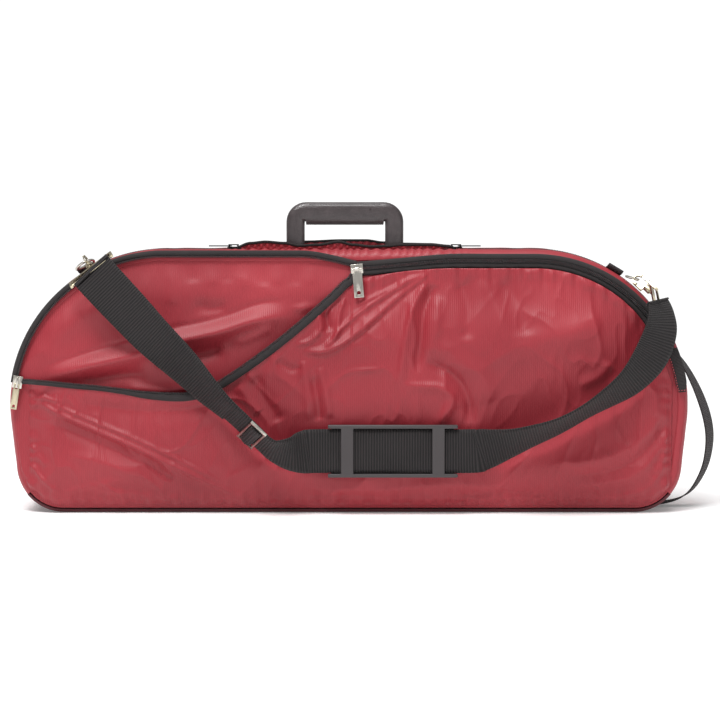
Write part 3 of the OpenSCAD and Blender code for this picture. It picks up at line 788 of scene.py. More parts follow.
# %% Folds behind the mouth
inner_folds = [
    Fold([(-352, 157), (-300, 171), (-252, 182), (-194, 199), (-148, 210), (-104, 224), (-62, 229)],
        12.0, 12.5, 10.0),
    Fold([(-356, 168), (-309, 183), (-263, 197), (-194, 216), (-148, 226), (-102, 243), (-70, 246)],
        3.0, -2.4, 5.5),
    Fold([(-62, 240), (-52, 236), (-44, 244)], 4.0, 3.0),
    Fold([(-204, 182), (-170, 184), (-146, 192)], 9.0, -5.5),
    Fold([(-310, 154), (-262, 160), (-232, 160)], 7.0, -4.0),
    Fold([(-256, 146), (-206, 143), (-176, 150)], 5.0, 3.6),
    Fold([(-132, 196), (-104, 208), (-88, 216)], 6.0, 3.6),
    Fold([(-176, 242), (-158, 236), (-140, 240)], 7.0, -3.2),
    Fold([(-206, 290), (-202, 262), (-204, 240)], 6.0, 1.8),
    Fold([(-182, 292), (-178, 266)], 5.0, -1.7), Fold([(-160, 292), (-156, 262)], 5.0, 1.8),
    Fold([(-140, 291), (-138, 266)], 4.0, -1.6), Fold([(-122, 290), (-118, 258)], 4.0, 1.9),
    Fold([(-100, 289), (-98, 262)], 4.0, -1.7), Fold([(-82, 288), (-82, 264)], 4.0, 1.7),
    Fold([(-62, 287), (-62, 262)], 4.0, -1.7), Fold([(-44, 285), (-46, 264)], 3.4, 1.6),
    Fold([(-352, 205), (-300, 232), (-262, 240)], 16.0, 2.4),
]
print(len(pocket_folds), "folds on the pocket,", len(inner_folds), "behind it")

# %% [markdown]
# ## The pocket's back
# Behind the open mouth shows the lid's own front cloth. It is one sheet from edge to edge,
# slack enough to hold one long light fold where it hangs over what is packed inside. It is laid
# out in columns, closer together towards the rounded ends, where the outline turns.

# %% Pocket back
def column_place(u, reach):
    return reach * sin((u - 0.5) * pi)


def pocket_back_shape(u, v):
    inset = 0.0062
    x = column_place(u, half_length - inset)
    low, high = bottom_at(x, inset), top_at(x, inset)
    z = low + (high - low) * v
    edge = min(ease((high - z) / 0.05), ease((z - low) / 0.03), ease((half_length - abs(x)) / 0.05))
    shown = ease((0.06 - x) / 0.05)
    puff = 0.0075 * edge * shown + folds_at(inner_folds, x, z) * shown * min(1.0, edge * 2)
    puff += (0.0007 * ripple(x, 0, z, 26) + 0.0011 * crumple(x, z, 3.5)) * edge * shown
    return Vector((x, front_y + 0.0002 - max(puff, -0.0001), z))


pocket_back = sheet_piece("pocket_back", pocket_back_shape, 220, 110, 0.77, 0.30, nylon, "lid",
    replaces=["front_wall"], thickness=0.0012)

# %% [markdown]
# ## The pocket
# The pocket's panel is bigger than the wall it is sewn to, so it stands out and falls in folds.
# Its bottom and ends are seams, its right upper edge hangs from the closed zip with small
# gathers, and its left upper edge is free and sags forward.

# %% Pocket cloth
def pocket_top(x):
    if x < 0.002:
        return mouth_at(x)
    if x < slider_x + 0.106:
        share = (x - 0.002) / (slider_x + 0.104)
        return 0.2685 + (slider_z + 0.0008 - 0.2685) * share + 0.006 * share * (1 - share) * 2
    radius = right_zip_radius - 0.0082
    if x < 0.3592:
        reach = max(x - shoulder_x, 0.0)
        return shoulder_z + sqrt(radius * radius - reach * reach)
    return 0.1835 + (0.150 - 0.1835) * (x - 0.3592) / (0.372 - 0.3592)


pocket_reach = 0.372
strap_low_line = smooth_line([(-0.20, 0, 0.185), (-0.14, 0, 0.127), (-0.108, 0, 0.097), (-0.083, 0, 0.078),
    (-0.05, 0, 0.074), (0.05, 0, 0.075), (0.137, 0, 0.075), (0.196, 0, 0.089), (0.232, 0, 0.103),
    (0.267, 0, 0.121), (0.295, 0, 0.138), (0.322, 0, 0.158), (0.343, 0, 0.183), (0.36, 0, 0.21)], 3)


def strap_height(x):
    for before, after in zip(strap_low_line, strap_low_line[1:]):
        if before.x <= x <= after.x:
            return before.z + (after.z - before.z) * (x - before.x) / (after.x - before.x)
    return 0.2 if x < 0 else 0.21


def pocket_shape(u, v):
    x = (u - 0.5) * 2
    x = pocket_reach * (0.82 * x + 0.18 * sin(x * pi / 2))
    low, high = bottom_at(x, 0.0085), pocket_top(x)
    z = low + (high - low) * v
    from_seam = min(z - low, (pocket_reach - abs(x)) * 1.25)
    bulge = ease(from_seam / 0.050) * 0.72 + 0.28 * ease(from_seam / 0.010)
    full = front_y - pocket_y
    hang = front_y - zip_y
    if x > 0.002:
        depth = hang + (full - hang) * (0.10 + 0.90 * ease((high - z) / 0.080))
        gather = sin(x * 330) * 0.6 + sin(x * 521 + 1.3) * 0.4
        depth += gather * 0.0017 * bell(high - z, 0.018) + 0.0012 * bell(high - z - 0.006, 0.006)
    else:
        sink = 0.78 * ease((x + 0.060) / 0.062) * ease((z - 0.18) / 0.09)
        depth = full * (1 - sink)
    press = bell(z - strap_height(x), 0.045) * ease((x + 0.17) / 0.06)
    shoulder = bell(z - strap_height(x) - 0.105, 0.050) * ease((x - 0.02) / 0.05)
    depth += -0.0075 * press + 0.0030 * shoulder
    depth *= bulge
    edge_room = 0.004 if x > 0.002 else 0.013
    loose = ease(from_seam / 0.018) * ease((high - z) / edge_room)
    depth += folds_at(pocket_folds, x, z) * loose
    depth += (0.0013 * ripple(x, 3, z, 17) + 0.0022 * crumple(x, z, 1.5)
        + 0.0009 * crumple(x * 1.8, z * 1.8, 7.5) - 0.0012) * loose
    pucker = bell(z - low, 0.020) * 0.0013 * (sin(x * 150 + 2 * sin(x * 31)) + sin(x * 410 + 2))
    depth += pucker * ease((z - low) / 0.004)
    for side_x in (-pocket_reach, pocket_reach):
        beside = abs(x - side_x)
        depth += 0.0010 * bell(beside - 0.006, 0.008) * sin(z * 420 + 2 * sin(z * 90))
    under_strap = bell(z - strap_height(x), 0.045) * ease((x + 0.22) / 0.05)
    depth = soft_limit(depth, 0.0275 - 0.0062 * under_strap, 0.007)
    depth = -soft_limit(-depth, 0.0, 0.002)
    return Vector((x, front_y - 0.0004 - depth, z))


pocket_cloth = sheet_piece("pocket_cloth", pocket_shape, 420, 150, 0.76, 0.26, nylon, "lid",
    replaces=["pocket_panel"], thickness=0.0009)

# %% [markdown]
# ## The tray and the lid's rim
# The rear half is a tray: an arched side, a back and a base, padded so that its edges are round.
# Each is a strip that follows the half-moon while a short profile, a list of depth and inset
# pairs, turns the edge.

# %% Arched side
def profiled(track, start, end, profile, wrinkle=0.0006):
    line = Line([(0, y, -inset) for y, inset in smooth_profile(profile)])

    def shape(u, v):
        share = start + (end - start) * u
        place = line.at(v)
        middle = 4 * v * (1 - v)
        bend = ripple(share * 9, place.y * 3, 1, 6.0) * wrinkle * middle
        return track.at(share, place.z + bend, place.y)

    return shape


def smooth_profile(profile):
    return [(point.x, point.y) for point in smooth_line([(y, inset, 0) for y, inset in profile], 5)]


tray_profile = [(-0.0442, 0.0004), (-0.040, 0.0), (-0.01, -0.0006), (0.03, -0.0006), (0.055, 0.0),
    (0.064, 0.0014), (0.0705, 0.0048), (0.0738, 0.0095), (0.0742, 0.0125)]
slot_low, slot_high = -0.120, 0.110
slot_back = 0.002


def cut_slot(made):
    for place, normal in (((slot_low, 0, 0), (1, 0, 0)), ((slot_high, 0, 0), (1, 0, 0)),
            ((0, slot_back, 0), (0, 1, 0))):
        bmesh.ops.bisect_plane(made, geom=made.verts[:] + made.edges[:] + made.faces[:],
            plane_co=place, plane_no=normal)
    inside = [face for face in made.faces
        if slot_low < face.calc_center_median().x < slot_high
        and face.calc_center_median().y < slot_back and face.calc_center_median().z > 0.28]
    bmesh.ops.delete(made, geom=inside, context="FACES")


def cloth_object(made, name, material, body, replaces=(), thickness=0.0012):
    data = bpy.data.meshes.new(name)
    made.to_mesh(data)
    made.free()
    for polygon in data.polygons:
        polygon.use_smooth = True
    data.materials.append(material)
    cloth = bpy.data.objects.new(name, data)
    bpy.context.scene.collection.objects.link(cloth)
    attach(cloth, body)
    if replaces:
        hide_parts(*replaces)
    if thickness:
        thicken(cloth, thickness)
    print(name, len(data.polygons), "faces")
    return cloth


def face_away(made, centre):
    flips = [face for face in made.faces
        if face.normal.dot(face.calc_center_median() - Vector(centre)) < 0]
    if len(flips) > len(made.faces) / 2:
        bmesh.ops.reverse_faces(made, faces=made.faces)


made = grid_of(profiled(rim, arch_start, 1 - arch_start, tray_profile, 0.0010), 320, 40, 1.35, 0.13)
cut_slot(made)
made.normal_update()
face_away(made, (0, 0, 0.1))
tray_arch = cloth_object(made, "tray_arch", nylon_side, "tray",
    replaces=["rear_gusset"])

# %% Base
sole_profile = [(-0.0718, 0.0042), (-0.0700, 0.0016), (-0.0655, 0.0001), (-0.03, 0.0), (0.03, 0.0),
    (0.055, 0.0001), (0.064, 0.0014), (0.0705, 0.0048), (0.0738, 0.0095), (0.0742, 0.0125)]
made = grid_of(profiled(sole, 0, 1, sole_profile, 0.0), 240, 40, 0.78, 0.15)
made.normal_update()
face_away(made, (0, 0, 0.1))
# The base takes the darker nylon copy: painted shade for the shadowed underside and the thin dark bottom edge
# seen under the front.
tray_base = cloth_object(made, "tray_base", painted_shade_nylon, "tray",
    replaces=["base_panel"])


# %% Back
def back_shape(u, v):
    inset = 0.0118
    x = column_place(u, half_length - inset)
    low, high = bottom_at(x, inset), top_at(x, inset)
    z = low + (high - low) * v
    edge = min(high - z, z - low, half_length - inset - abs(x))
    puff = 0.0048 * ease(edge / 0.055) + 0.0007 * ripple(x, 5, z, 14) * ease(edge / 0.02)
    return Vector((x, back_y - 0.0009 + puff, z))


tray_back = sheet_piece("tray_back", back_shape, 180, 90, 0.76, 0.29, nylon, "tray",
    replaces=["rear_panel"], thickness=0.0012, outward=(0, 1, 0))
back_piping = tube_piece("back_piping", [rim.at(step / 400, -0.0121, 0.0746)
    for step in range(401)], 0.0014, binding, "tray")

# %% Lid's rim
rim_profile = [(-0.0462, 0.0004), (-0.050, 0.0), (-0.058, -0.0004), (-0.0655, 0.0004),
    (-0.0705, 0.0022), (-0.0738, 0.0052), (-0.0752, 0.0085), (-0.0755, 0.0130)]


def gathered_rim(u, v):
    place = profiled(rim, arch_start, 1 - arch_start, rim_profile, 0.0006)(u, v)
    near_slot = ease((place.x - slot_low + 0.03) / 0.04) * ease((slot_high + 0.04 - place.x) / 0.05)
    if place.z > 0.28:
        place.z += near_slot * 0.0011 * sin(place.x * 620 + 2 * sin(place.x * 90)) * sin(v * pi)
    return place


made = grid_of(gathered_rim, 700, 24, 1.35, 0.04)
made.normal_update()
face_away(made, (0, 0, 0.1))
lid_rim = cloth_object(made, "lid_rim", nylon_side, "lid",
    replaces=["front_gusset"])

# %% [markdown]
# ## Handle slot
# The handle comes out between two loose lips of cloth. Each is gathered onto a black elastic
# binding, so its top edge dips and rises and its cloth crinkles.

# %% Lips and bindings
lip_tops = [(-0.136, 0.0), (-0.114, 0.007), (-0.097, 0.0085), (-0.075, 0.007), (-0.058, 0.004),
    (-0.036, 0.005), (-0.012, 0.0085), (0.005, 0.005), (0.025, 0.003), (0.045, 0.0035),
    (0.062, 0.005), (0.095, 0.005), (0.118, 0.003), (0.123, 0.0)]
rear_tops = [(-0.136, 0.0), (-0.110, 0.005), (-0.075, 0.0065), (-0.050, 0.008), (-0.010, 0.0095),
    (0.020, 0.0095), (0.040, 0.007), (0.062, 0.0055), (0.095, 0.005), (0.118, 0.003), (0.123, 0.0)]


def height_from(tops, x):
    line = tops
    for before, after in zip(line, line[1:]):
        if before[0] <= x <= after[0]:
            return before[1] + (after[1] - before[1]) * ease((x - before[0]) / (after[0] - before[0]))
    return 0.0


def lip_shape(y, lean, tops):
    def shape(u, v):
        x = -0.1355 + 0.258 * u
        lift = height_from(tops, x)
        crinkle = 0.0011 * sin(x * 700 + 3 * sin(x * 60)) * sin(v * pi) * min(1.0, lift / 0.004)
        return Vector((x, y + lean * v * lift + crinkle, height - 0.0004 + v * (lift + 0.0004)))
    return shape


front_lip = sheet_piece("slot_lip_front_cloth", lip_shape(-0.0484, -0.1, lip_tops), 260, 8, 0.26,
    0.01, nylon_side, "lid", replaces=["slot_lip_front"], thickness=0.0009)
rear_lip = sheet_piece("slot_lip_rear_cloth", lip_shape(0.0028, 0.1, rear_tops), 260, 8, 0.26,
    0.01, nylon_side, "tray", replaces=["slot_lip_rear"], thickness=0.0009,
    outward=(0, 1, 0))


def binding_line(y, lean, tops):
    return [Vector((-0.1355 + 0.258 * step / 160,
        y + lean * height_from(tops, -0.1355 + 0.258 * step / 160),
        height + 0.0002 + height_from(tops, -0.1355 + 0.258 * step / 160))) for step in range(161)]


tube_piece("slot_edge_front", binding_line(-0.0484, -0.1, lip_tops), 0.0017, binding, "lid",
    replaces=["slot_binding_front"])
tube_piece("slot_edge_rear", binding_line(0.0028, 0.1, rear_tops), 0.0017, binding, "tray",
    replaces=["slot_binding_rear"])
print("slot lips made")

# %% [markdown]
# ## Zips
# A zip is two woven tapes with a row of nylon coil on each. The coil really is one long spring,
# so it is made as one: a line that winds round the zip's track and is given a round section.

# %% Zip helpers
def coil_points(place, length, radius, pitch=0.0019, turns_faces=6):
    count = int(length / pitch) * turns_faces
    points = []
    for step in range(count + 1):
        share = step / count
        angle = tau * step / turns_faces
        points.append(place(share, radius * cos(angle), radius * sin(angle)))
    return points


def tape_on(name, track, start, end, inner, outer, y, crown, body="lid", replaces=(), steps=260,
        thickness=0.0007, wave=0.0):
    length = track.line.length * (end - start)

    def shape(u, v):
        share = start + (end - start) * u
        shift = inner + (outer - inner) * v
        lift = crown * sin(min(max(v, 0.0), 1.0) * pi) ** 0.6
        return track.at(share, shift + wave * ripple(u * 30, 0, 0, 1.0), y - lift)

    return sheet_piece(name, shape, steps, 8, length, outer - inner, zip_cloth, body,
        replaces=replaces, thickness=thickness)


def coil_on(name, track, start, end, shift, y, radius=0.0011, body="lid", replaces=()):
    length = track.line.length * (end - start)

    def place(share, out, forward):
        return track.at(start + (end - start) * share, shift + out, y + forward)

    return tube_piece(name, coil_points(place, length, radius), 0.00042, coil_nylon, body,
        replaces=replaces, sides=1)


# %% Front zip
tape_upper_open = tape_on("front_tape_open", open_track, 0, 1, 0.0016, 0.0083, -0.0786, 0.0018,
    replaces=["pocket_zip_tape_upper"])
coil_on("front_coil_open", open_track, 0.005, 1, 0.0009, -0.0797, replaces=["pocket_zip_coil_upper"])
tape_on("front_tape_top", closed_track, 0, 1, 0.0016, 0.0083, -0.0786, 0.0014)
coil_on("front_coil_top", closed_track, 0, 1, 0.0010, -0.0800)
tape_on("front_tape_low", closed_track, 0.012, 1, -0.0084, -0.0016, -0.0786, 0.0014,
    replaces=["pocket_zip_tape_lower"])
coil_on("front_coil_low", closed_track, 0.012, 1, -0.0010, -0.0800,
    replaces=["pocket_zip_coil_lower"])


# %% Free tape along the mouth
def mouth_normal(share):
    way = mouth_line.way(share)
    return Vector((-way.z, 0, way.x))


def mouth_depth(share):
    start = ease(share / 0.05)
    end = ease((share - 0.80) / 0.19)
    return -0.0812 - 0.0148 * start * (1 - 0.88 * end)


def mouth_place(share, out, forward):
    point = mouth_line.at(share)
    normal = mouth_normal(min(max(share, 0.01), 0.99))
    return Vector((point.x, 0, point.z)) + normal * out + Vector((0, mouth_depth(share) + forward, 0))


def mouth_tape(u, v):
    full = 0.0052 + 0.0040 * ease((u - 0.22) / 0.2)
    out = (v - 0.55) * full
    scallop = 0.0007 * sin(u * 170) * ease((u - 0.3) / 0.1) * v
    return mouth_place(u, out + scallop, -0.0016 * sin(v * pi) ** 0.7)


mouth_band = sheet_piece("mouth_tape", mouth_tape, 320, 8, 0.47, 0.009, zip_cloth, "lid",
    thickness=0.0009)
coil = tube_piece("mouth_coil", coil_points(
    lambda share, out, forward: mouth_place(share,
        (0.0026 + 0.0018 * ease((share - 0.22) / 0.2)) + out, forward - 0.0006),
    mouth_line.length, 0.0010), 0.0004, coil_nylon, "lid", sides=1)


# %% Main zip
def plain_tape(name, inner_y, outer_y, body, node):
    def shape(u, v):
        share = arch_start + (1 - 2 * arch_start) * u
        return rim.at(share, 0.0006 + 0.0004 * sin(v * pi), inner_y + (outer_y - inner_y) * v)

    made = grid_of(shape, 300, 4, 1.35, abs(outer_y - inner_y))
    cut_slot(made) if body == "tray" else cut_front_slot(made)
    made.normal_update()
    face_away(made, (0, 0, 0.1))
    return cloth_object(made, name, zip_cloth, body, replaces=[node], thickness=0.0005)


def cut_front_slot(made):
    for x in (slot_low, slot_high):
        bmesh.ops.bisect_plane(made, geom=made.verts[:] + made.edges[:] + made.faces[:],
            plane_co=(x, 0, 0), plane_no=(1, 0, 0))
    inside = [face for face in made.faces
        if slot_low < face.calc_center_median().x < slot_high
        and face.calc_center_median().z > 0.28]
    bmesh.ops.delete(made, geom=inside, context="FACES")


plain_tape("main_tape_rear", -0.0437, -0.0398, "tray", "main_zip_tape_rear")
plain_tape("main_tape_front", -0.0502, -0.0463, "lid", "main_zip_tape_front")


def main_coil(name, y, body, node):
    ends = ((arch_start, 0.5 - 0.132 / rim.line.length), (0.5 + 0.122 / rim.line.length,
        1 - arch_start))
    for number, (start, end) in enumerate(ends):
        coil_on(name + "_" + "ab"[number], rim, start, end, 0.0005, y, radius=0.0006, body=body,
            replaces=[node])


main_coil("main_coil_rear", -0.0441, "tray", "main_zip_coil_rear")
main_coil("main_coil_front", -0.0459, "lid", "main_zip_coil_front")
print("zips made")


# %% [markdown]
# ## End tab, ring tabs and stitches
# The zip's right end is covered by a black tab with a row of stitches round it. The two D-rings
# hang from short loops of webbing. A stitch is a tiny ellipsoid of thread; a row of them is one
# mesh.

# %% Stitches
def stitches(name, points, material, body, pitch=0.0034, long=0.0024, thick=0.00045):
    line = Line(points)
    made = bmesh.new()
    count = max(2, int(line.length / pitch))
    for number in range(count):
        share = (number + 0.5) / count
        turn = Vector((1, 0, 0)).rotation_difference(line.way(share)).to_matrix().to_4x4()
        size = Matrix.Diagonal((long / 2, thick, thick, 1))
        bmesh.ops.create_uvsphere(made, u_segments=6, v_segments=4, radius=1,
            matrix=Matrix.Translation(line.at(share)) @ turn @ size)
    return piece_from(made, name, material, body)


# %% Right end tab
tab_track = Track(lambda shift: arc(shoulder_x, shoulder_z, shoulder_radius - 0.008 + shift,
    radians(22.5), radians(5.5), 12))


def end_tab_shape(u, v):
    wide = 0.0065 - 0.002 * ease((u - 0.75) / 0.25)
    return tab_track.at(u, (v - 0.5) * 2 * wide, -0.0790 - 0.0014 * sin(v * pi) ** 0.5)


sheet_piece("end_tab", end_tab_shape, 24, 8, 0.05, 0.012, binding, "lid",
    replaces=["pocket_zip_end_tab"], thickness=0.0012)
stitches("end_tab_stitches", [tab_track.at(share, shift, -0.0806) for share, shift in
    ((0.04, -0.0058), (0.3, -0.0058), (0.6, -0.0056), (0.96, -0.0042), (0.96, 0.0042))],
    thread_red, "lid", pitch=0.003)


# %% Ring tabs
def ring_tab(name, centre_x, angle, side_width):
    out = Vector((cos(angle), 0, sin(angle)))
    along = Vector((-sin(angle), 0, cos(angle)))
    base = Vector((centre_x, 0, shoulder_z))
    loop = smooth_line([(0, -0.0505, 0.1812), (0, -0.056, 0.1818), (0, -0.0615, 0.184),
        (0, -0.0665, 0.1868), (0, -0.0672, 0.1842), (0, -0.063, 0.1816), (0, -0.054, 0.1806)], 6)
    path = Line(loop)

    def shape(u, v):
        place = path.at(u)
        return base + out * place.z + along * (v - 0.5) * side_width + Vector((0, place.y, 0))

    return sheet_piece(name, shape, 36, 6, 0.04, side_width, fine_webbing, "lid",
        thickness=0.0007, outward=tuple(out))


ring_tab("ring_tab_left", -shoulder_x, radians(120), 0.019)
ring_tab("ring_tab_right", shoulder_x, radians(54 + 5), 0.019)
bpy.context.view_layer.update()
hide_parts("ring_tabs")

# %% [markdown]
# ## Shoulder strap
# Flat webbing turns edge-on where it twists, which gives the strap its changing width. Its
# centre follows a few stations, each with a tilt, and the sheet's width direction turns with
# them. The ends fold round the hooks' bars, and the adjuster holds the doubled part.

# %% Strap stations
stations = [(-291.5, -108.5, 280.4, 0), (-262, -111, 249, 8), (-228, -113, 213, 20),
    (-195, -115, 181, 34), (-163, -118, 149, 50), (-140, -121, 127, 60), (-122, -122.5, 110, 62),
    (-108, -122.5, 97, 62), (-94, -122.5, 84, 62), (-83, -121, 77, 54), (-66, -115, 73, 34),
    (-50, -107.5, 74, 8), (-37, -105, 75, 0), (50, -105, 75, 0), (137, -105, 75, 0),
    (152, -106.5, 77, 14), (172, -112, 82, 36), (196, -117.5, 89, 52), (232, -121, 103, 63),
    (267, -122, 121, 66), (295, -119.5, 138, 58), (322, -114, 158, 44), (343, -109, 183, 32),
    (354, -104, 210, 36), (356, -95, 230, 48), (354.7, -80.5, 245, 58)]
strap_width = 0.050
strap_thick = 0.0018
centre_line = smooth_line([(x / 1000, y / 1000, z / 1000) for x, y, z, _ in stations], 8)
tilt_line = smooth_line([(radians(tilt), 0, 0) for *_, tilt in stations], 8)
strap = Line(centre_line)


def strap_frame(share):
    low, high, part = strap.find(share)
    tilt = tilt_line[low].lerp(tilt_line[high], part).x
    run = strap.way(min(max(share, 0.004), 0.996))
    across = Vector((-run.z, 0, run.x)).normalized()
    side = (cos(tilt) * across - sin(tilt) * Vector((0, 1, 0))).normalized()
    return run, side, run.cross(side).normalized()


def strap_place(share, side_shift, lift):
    run, side, front = strap_frame(share)
    edge = side_shift / (strap_width / 2)
    curl = 0.0005 * edge * edge * sin(share * 60)
    return strap.at(share) + side * side_shift + front * (lift + curl)


def webbing_strip(name, shape, along, length, body, replaces=(), outward=(0, -1, 0), width=strap_width,
        material=None):
    piece = sheet_piece(name, shape, along, 10, length, width, material or webbing, body,
        replaces=replaces, thickness=strap_thick, outward=outward)
    piece.modifiers["thickness"].offset = 0.0
    max(length, 0.011)
    return piece


webbing_strip("strap_webbing", lambda u, v: strap_place(u, (0.5 - v) * strap_width, 0.0), 520,
    strap.length, "lid", replaces=["webbing_main"])
print("shoulder strap", round(strap.length, 3), "m")

return_end = 0.0
for step in range(1000):
    if strap.at(step / 1000).x < -0.134:
        return_end = step / 1000
webbing_strip("strap_return", lambda u, v: strap_place(0.004 + (return_end - 0.004) * u,
    (0.5 - v) * strap_width, 0.0023), 180, strap.length * return_end, "lid",
    replaces=["webbing_return"])


# %% Loops round the two hooks' bars
def eye_loop(name, share, radius, other):
    run, side, front = strap_frame(share)
    centre = strap.at(share)
    out = -run if share < 0.5 else run

    def shape(u, v):
        angle = pi * (u - 0.5)
        ring = centre + out * (radius * cos(angle)) + front * (other + radius * sin(angle))
        return ring + side * (0.5 - v) * strap_width

    return webbing_strip(name, shape, 14, 0.0105, "lid", outward=tuple(out))


eye_loop("strap_loop_left", 0.001, 0.0028, 0.0012)
eye_loop("strap_loop_right", 0.999, 0.0028, -0.0012)


# %% Small wrap on the adjuster
def adjuster_wrap():
    target = Vector((-0.108, -0.1225, 0.097))
    share = min(range(1000), key=lambda step: (strap.at(step / 1000) - target).length) / 1000

    def shape(u, v):
        spot = share - 0.0085 + 0.017 * u
        lift = 0.0040 * sin(u * pi) ** 0.5 + 0.0021
        return strap_place(spot, (0.5 - v) * (strap_width - 0.001), lift)

    return webbing_strip("adjuster_wrap", shape, 26, strap.length * 0.017, "strap_adjuster")


adjuster_wrap()


# %% Ribbon loop at the right end
loop_line = Line(smooth_line([(0.3835, 0, 0.184), (0.398, 0, 0.164), (0.412, 0, 0.137),
    (0.4225, 0, 0.108), (0.4265, 0, 0.082), (0.4235, 0, 0.055), (0.4155, 0, 0.034),
    (0.404, 0, 0.0175), (0.390, 0, 0.0085), (0.374, 0, 0.0042), (0.352, 0, 0.0016)], 6))


def ribbon(u, v):
    way = loop_line.way(min(max(u, 0.01), 0.99))
    outward = Vector((-way.z, 0, way.x))
    twist = radians(10 + 15 * sin(u * pi) + 5 * sin(u * 5)) * ease((1 - u) / 0.3)
    side = Vector((0, cos(twist), 0)) + outward * sin(twist)
    return loop_line.at(u) + Vector((0, -0.0095, 0)) + side * (v - 0.5) * 0.025


end_loop = sheet_piece("end_ribbon", ribbon, 120, 8, loop_line.length, 0.025, fine_webbing, "tray",
    replaces=["end_strap"], thickness=0.0015, outward=(1, 0, 0))

# %% [markdown]
# ## Carry handle
# The handle is a steel loop in padded leather. Its section is a soft oval with a raised seam
# along the top of the grip, swept up one leg, round two bends and down the other.

# %% Handle leather
handle_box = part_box("handle_leather")
leg_half = 0.011
handle_pivot_z = handle_box[0].z + 0.008
left_leg = handle_box[0].x + leg_half
right_leg = handle_box[1].x - leg_half
grip_z = handle_box[1].z - leg_half
handle_y = (handle_box[0].y + handle_box[1].y) / 2
bend = 0.0125
handle_path = ([Vector((left_leg, handle_y, z)) for z in (0.2955, 0.299, 0.305, 0.315, 0.326, 0.334)]
    + [Vector((left_leg + bend - bend * cos(a), handle_y, grip_z - bend + bend * sin(a)))
        for a in (0.0, 0.4, 0.8, 1.2, pi / 2)]
    + [Vector((left_leg + (right_leg - left_leg) * share, handle_y, grip_z))
        for share in (0.2, 0.35, 0.5, 0.65, 0.8)]
    + [Vector((right_leg - bend + bend * sin(a), handle_y, grip_z - bend + bend * cos(a)))
        for a in (0.0, 0.4, 0.8, 1.2, pi / 2)]
    + [Vector((right_leg, handle_y, z)) for z in (0.334, 0.326, 0.315, 0.305, 0.299, 0.2955)])
handle_line = Line(smooth_line(handle_path, 6))


def handle_section(share, angle, swell=0.0):
    way = handle_line.way(min(max(share, 0.006), 0.994))
    out = Vector((-way.z, 0, way.x))
    grip = ease((share - 0.33) / 0.1) * ease((0.67 - share) / 0.1)
    below_pin = max(handle_pivot_z - handle_line.at(share).z, 0.0)
    half_deep = 0.0079 * sqrt(max(1 - (below_pin / 0.0081) ** 2, 0.12))
    half_wide = leg_half - 0.0003
    power = 0.78
    wide, deep = cos(angle), sin(angle)
    wide = copysign(abs(wide) ** power, wide) * half_wide
    deep = copysign(abs(deep) ** power, deep) * half_deep
    seam = 0.0005 * bell(angle - 1.05, 0.10) * grip
    bends = bell(share - 0.285, 0.035) + bell(share - 0.715, 0.035)
    crease = 0.00035 * bends * sin(share * 900) * (1 if wide < 0 else 0.35)
    pinch = 1 - 0.06 * (bell(share, 0.05) + bell(share - 1, 0.05))
    scale = pinch + (seam + crease + swell) / leg_half
    fill = ease((share - 0.215) / 0.07) * ease((0.785 - share) / 0.07)
    inner_fill = 0.0050 * fill if wide < 0 else 0.0
    place = handle_line.at(share) + out * wide * scale + Vector((0, -deep * scale, 0))
    return place + out * inner_fill * wide / half_wide


def make_handle():
    made = bmesh.new()
    around = 40
    bmesh.ops.create_grid(made, x_segments=230, y_segments=around, size=0.5)
    for vert in made.verts:
        vert.co = handle_section(vert.co.x + 0.5, (vert.co.y + 0.5) * tau)
    bmesh.ops.remove_doubles(made, verts=made.verts, dist=0.00002)
    rims = [edge for edge in made.edges if edge.is_boundary]
    bmesh.ops.holes_fill(made, edges=rims, sides=0)
    return piece_from(made, "handle_grip", case_leather, "handle",
        replaces=["handle_leather"])


make_handle()
stitches("handle_stitches", [handle_section(0.30 + 0.40 * step / 60, 0.86, 0.0002)
    for step in range(61)], thread_dark, "handle", pitch=0.0030, long=0.0022,
    thick=0.0004)

# %% [markdown]
# ## Hardware
# The metal and plastic parts already have the right shape and only need softer edges. The
# model's mesh is loose triangles, so a copy is merged, flat areas are joined up and a small
# bevel runs round the edges. The original stays as it was and is hidden.

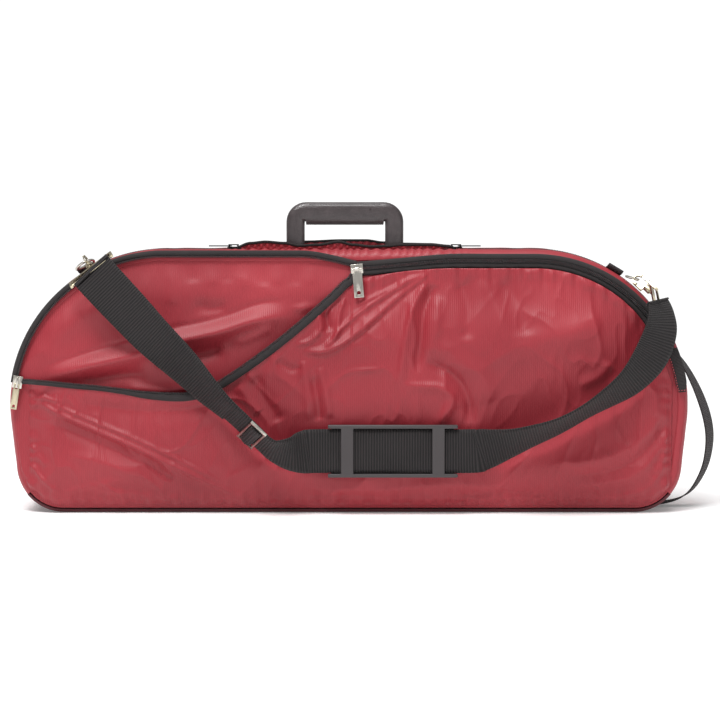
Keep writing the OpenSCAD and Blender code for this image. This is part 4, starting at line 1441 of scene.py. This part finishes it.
# %% Softened copies
node_finish = {
    "pocket_slider_upper": (nickel, "nickel", 0.0004), "pocket_pull_upper": (nickel, "nickel", 0.0004),
    "pocket_slider_left": (nickel, "nickel", 0.0004),
    "pocket_pull_left": (pale_brass, "pale_brass", 0.0003),
    "main_slider_left": (black_metal, "black_metal", 0.0004),
    "main_pull_left": (black_metal, "black_metal", 0.0003),
    "main_slider_right": (black_metal, "black_metal", 0.0004),
    "main_pull_right": (black_metal, "black_metal", 0.0003),
    "d_ring_left": (nickel, "nickel", 0.0003), "d_ring_right": (nickel, "nickel", 0.0003),
    "hook_left": (pale_brass, "pale_brass", 0.0006), "hook_right": (pale_brass, "pale_brass", 0.0006),
    "hook_gate_left": (nickel, "nickel", 0.0003), "hook_gate_right": (nickel, "nickel", 0.0003),
    "strap_eye_left": (pale_brass, "pale_brass", 0.0005),
    "strap_eye_right": (pale_brass, "pale_brass", 0.0005),
    "strap_adjuster": (nickel, "nickel", 0.0004),
    "shoulder_pad": (pad_plastic, "pad_plastic", 0.0011),
    "handle_posts": (zinc, "steel", 0.0003), "handle_pins": (zinc, "steel", 0.0003),
    "handle_rivets": (zinc, "steel", 0.0004),
}
body_of_node = {node: body for body, nodes in
    frame["record"]["behaviour"]["bodies"].items() for node in nodes}


def softened(node, material, slot, width):
    made = bmesh.new()
    made.from_mesh(frame["nodes"][node].data)
    bmesh.ops.remove_doubles(made, verts=made.verts, dist=0.00001)
    bmesh.ops.dissolve_limit(made, angle_limit=radians(1.5), verts=made.verts, edges=made.edges)
    sharp = [edge for edge in made.edges
        if len(edge.link_faces) == 2 and edge.calc_face_angle(0) > radians(35)]
    bmesh.ops.bevel(made, geom=sharp, offset=width, offset_type="OFFSET", affect="EDGES",
        segments=2, profile=0.5, clamp_overlap=True, material=-1)
    bmesh.ops.triangulate(made, faces=[face for face in made.faces if len(face.verts) > 4])
    data = bpy.data.meshes.new(node + "_finish")
    made.to_mesh(data)
    made.free()
    for polygon in data.polygons:
        polygon.use_smooth = True
    data.set_sharp_from_angle(angle=radians(38))
    data.materials.append(material)
    piece = bpy.data.objects.new(node + "_finish", data)
    bpy.context.scene.collection.objects.link(piece)
    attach(piece, body_of_node[node])
    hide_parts(node)
    return piece


for node, (material, slot, width) in node_finish.items():
    softened(node, material, slot, width)
print(len(node_finish), "pieces of hardware")

# %% [markdown]
# ## What stays from the model
# Boards, foam and the handle's steel lie inside and show only when the bag is open. Their shapes
# are right, so they keep the model's mesh and take a proper finish.

# %% Inside finishes
inside = {"base_board": board, "foam_liner": foam, "rear_stiffener": board,
    "front_stiffener": board, "handle_plate": zinc, "handle_packers": plywood,
    "handle_core": zinc}
for node, material in inside.items():
    data = frame["nodes"][node].data
    data.materials.clear()
    data.materials.append(material)
print("inside finishes:", len(inside))
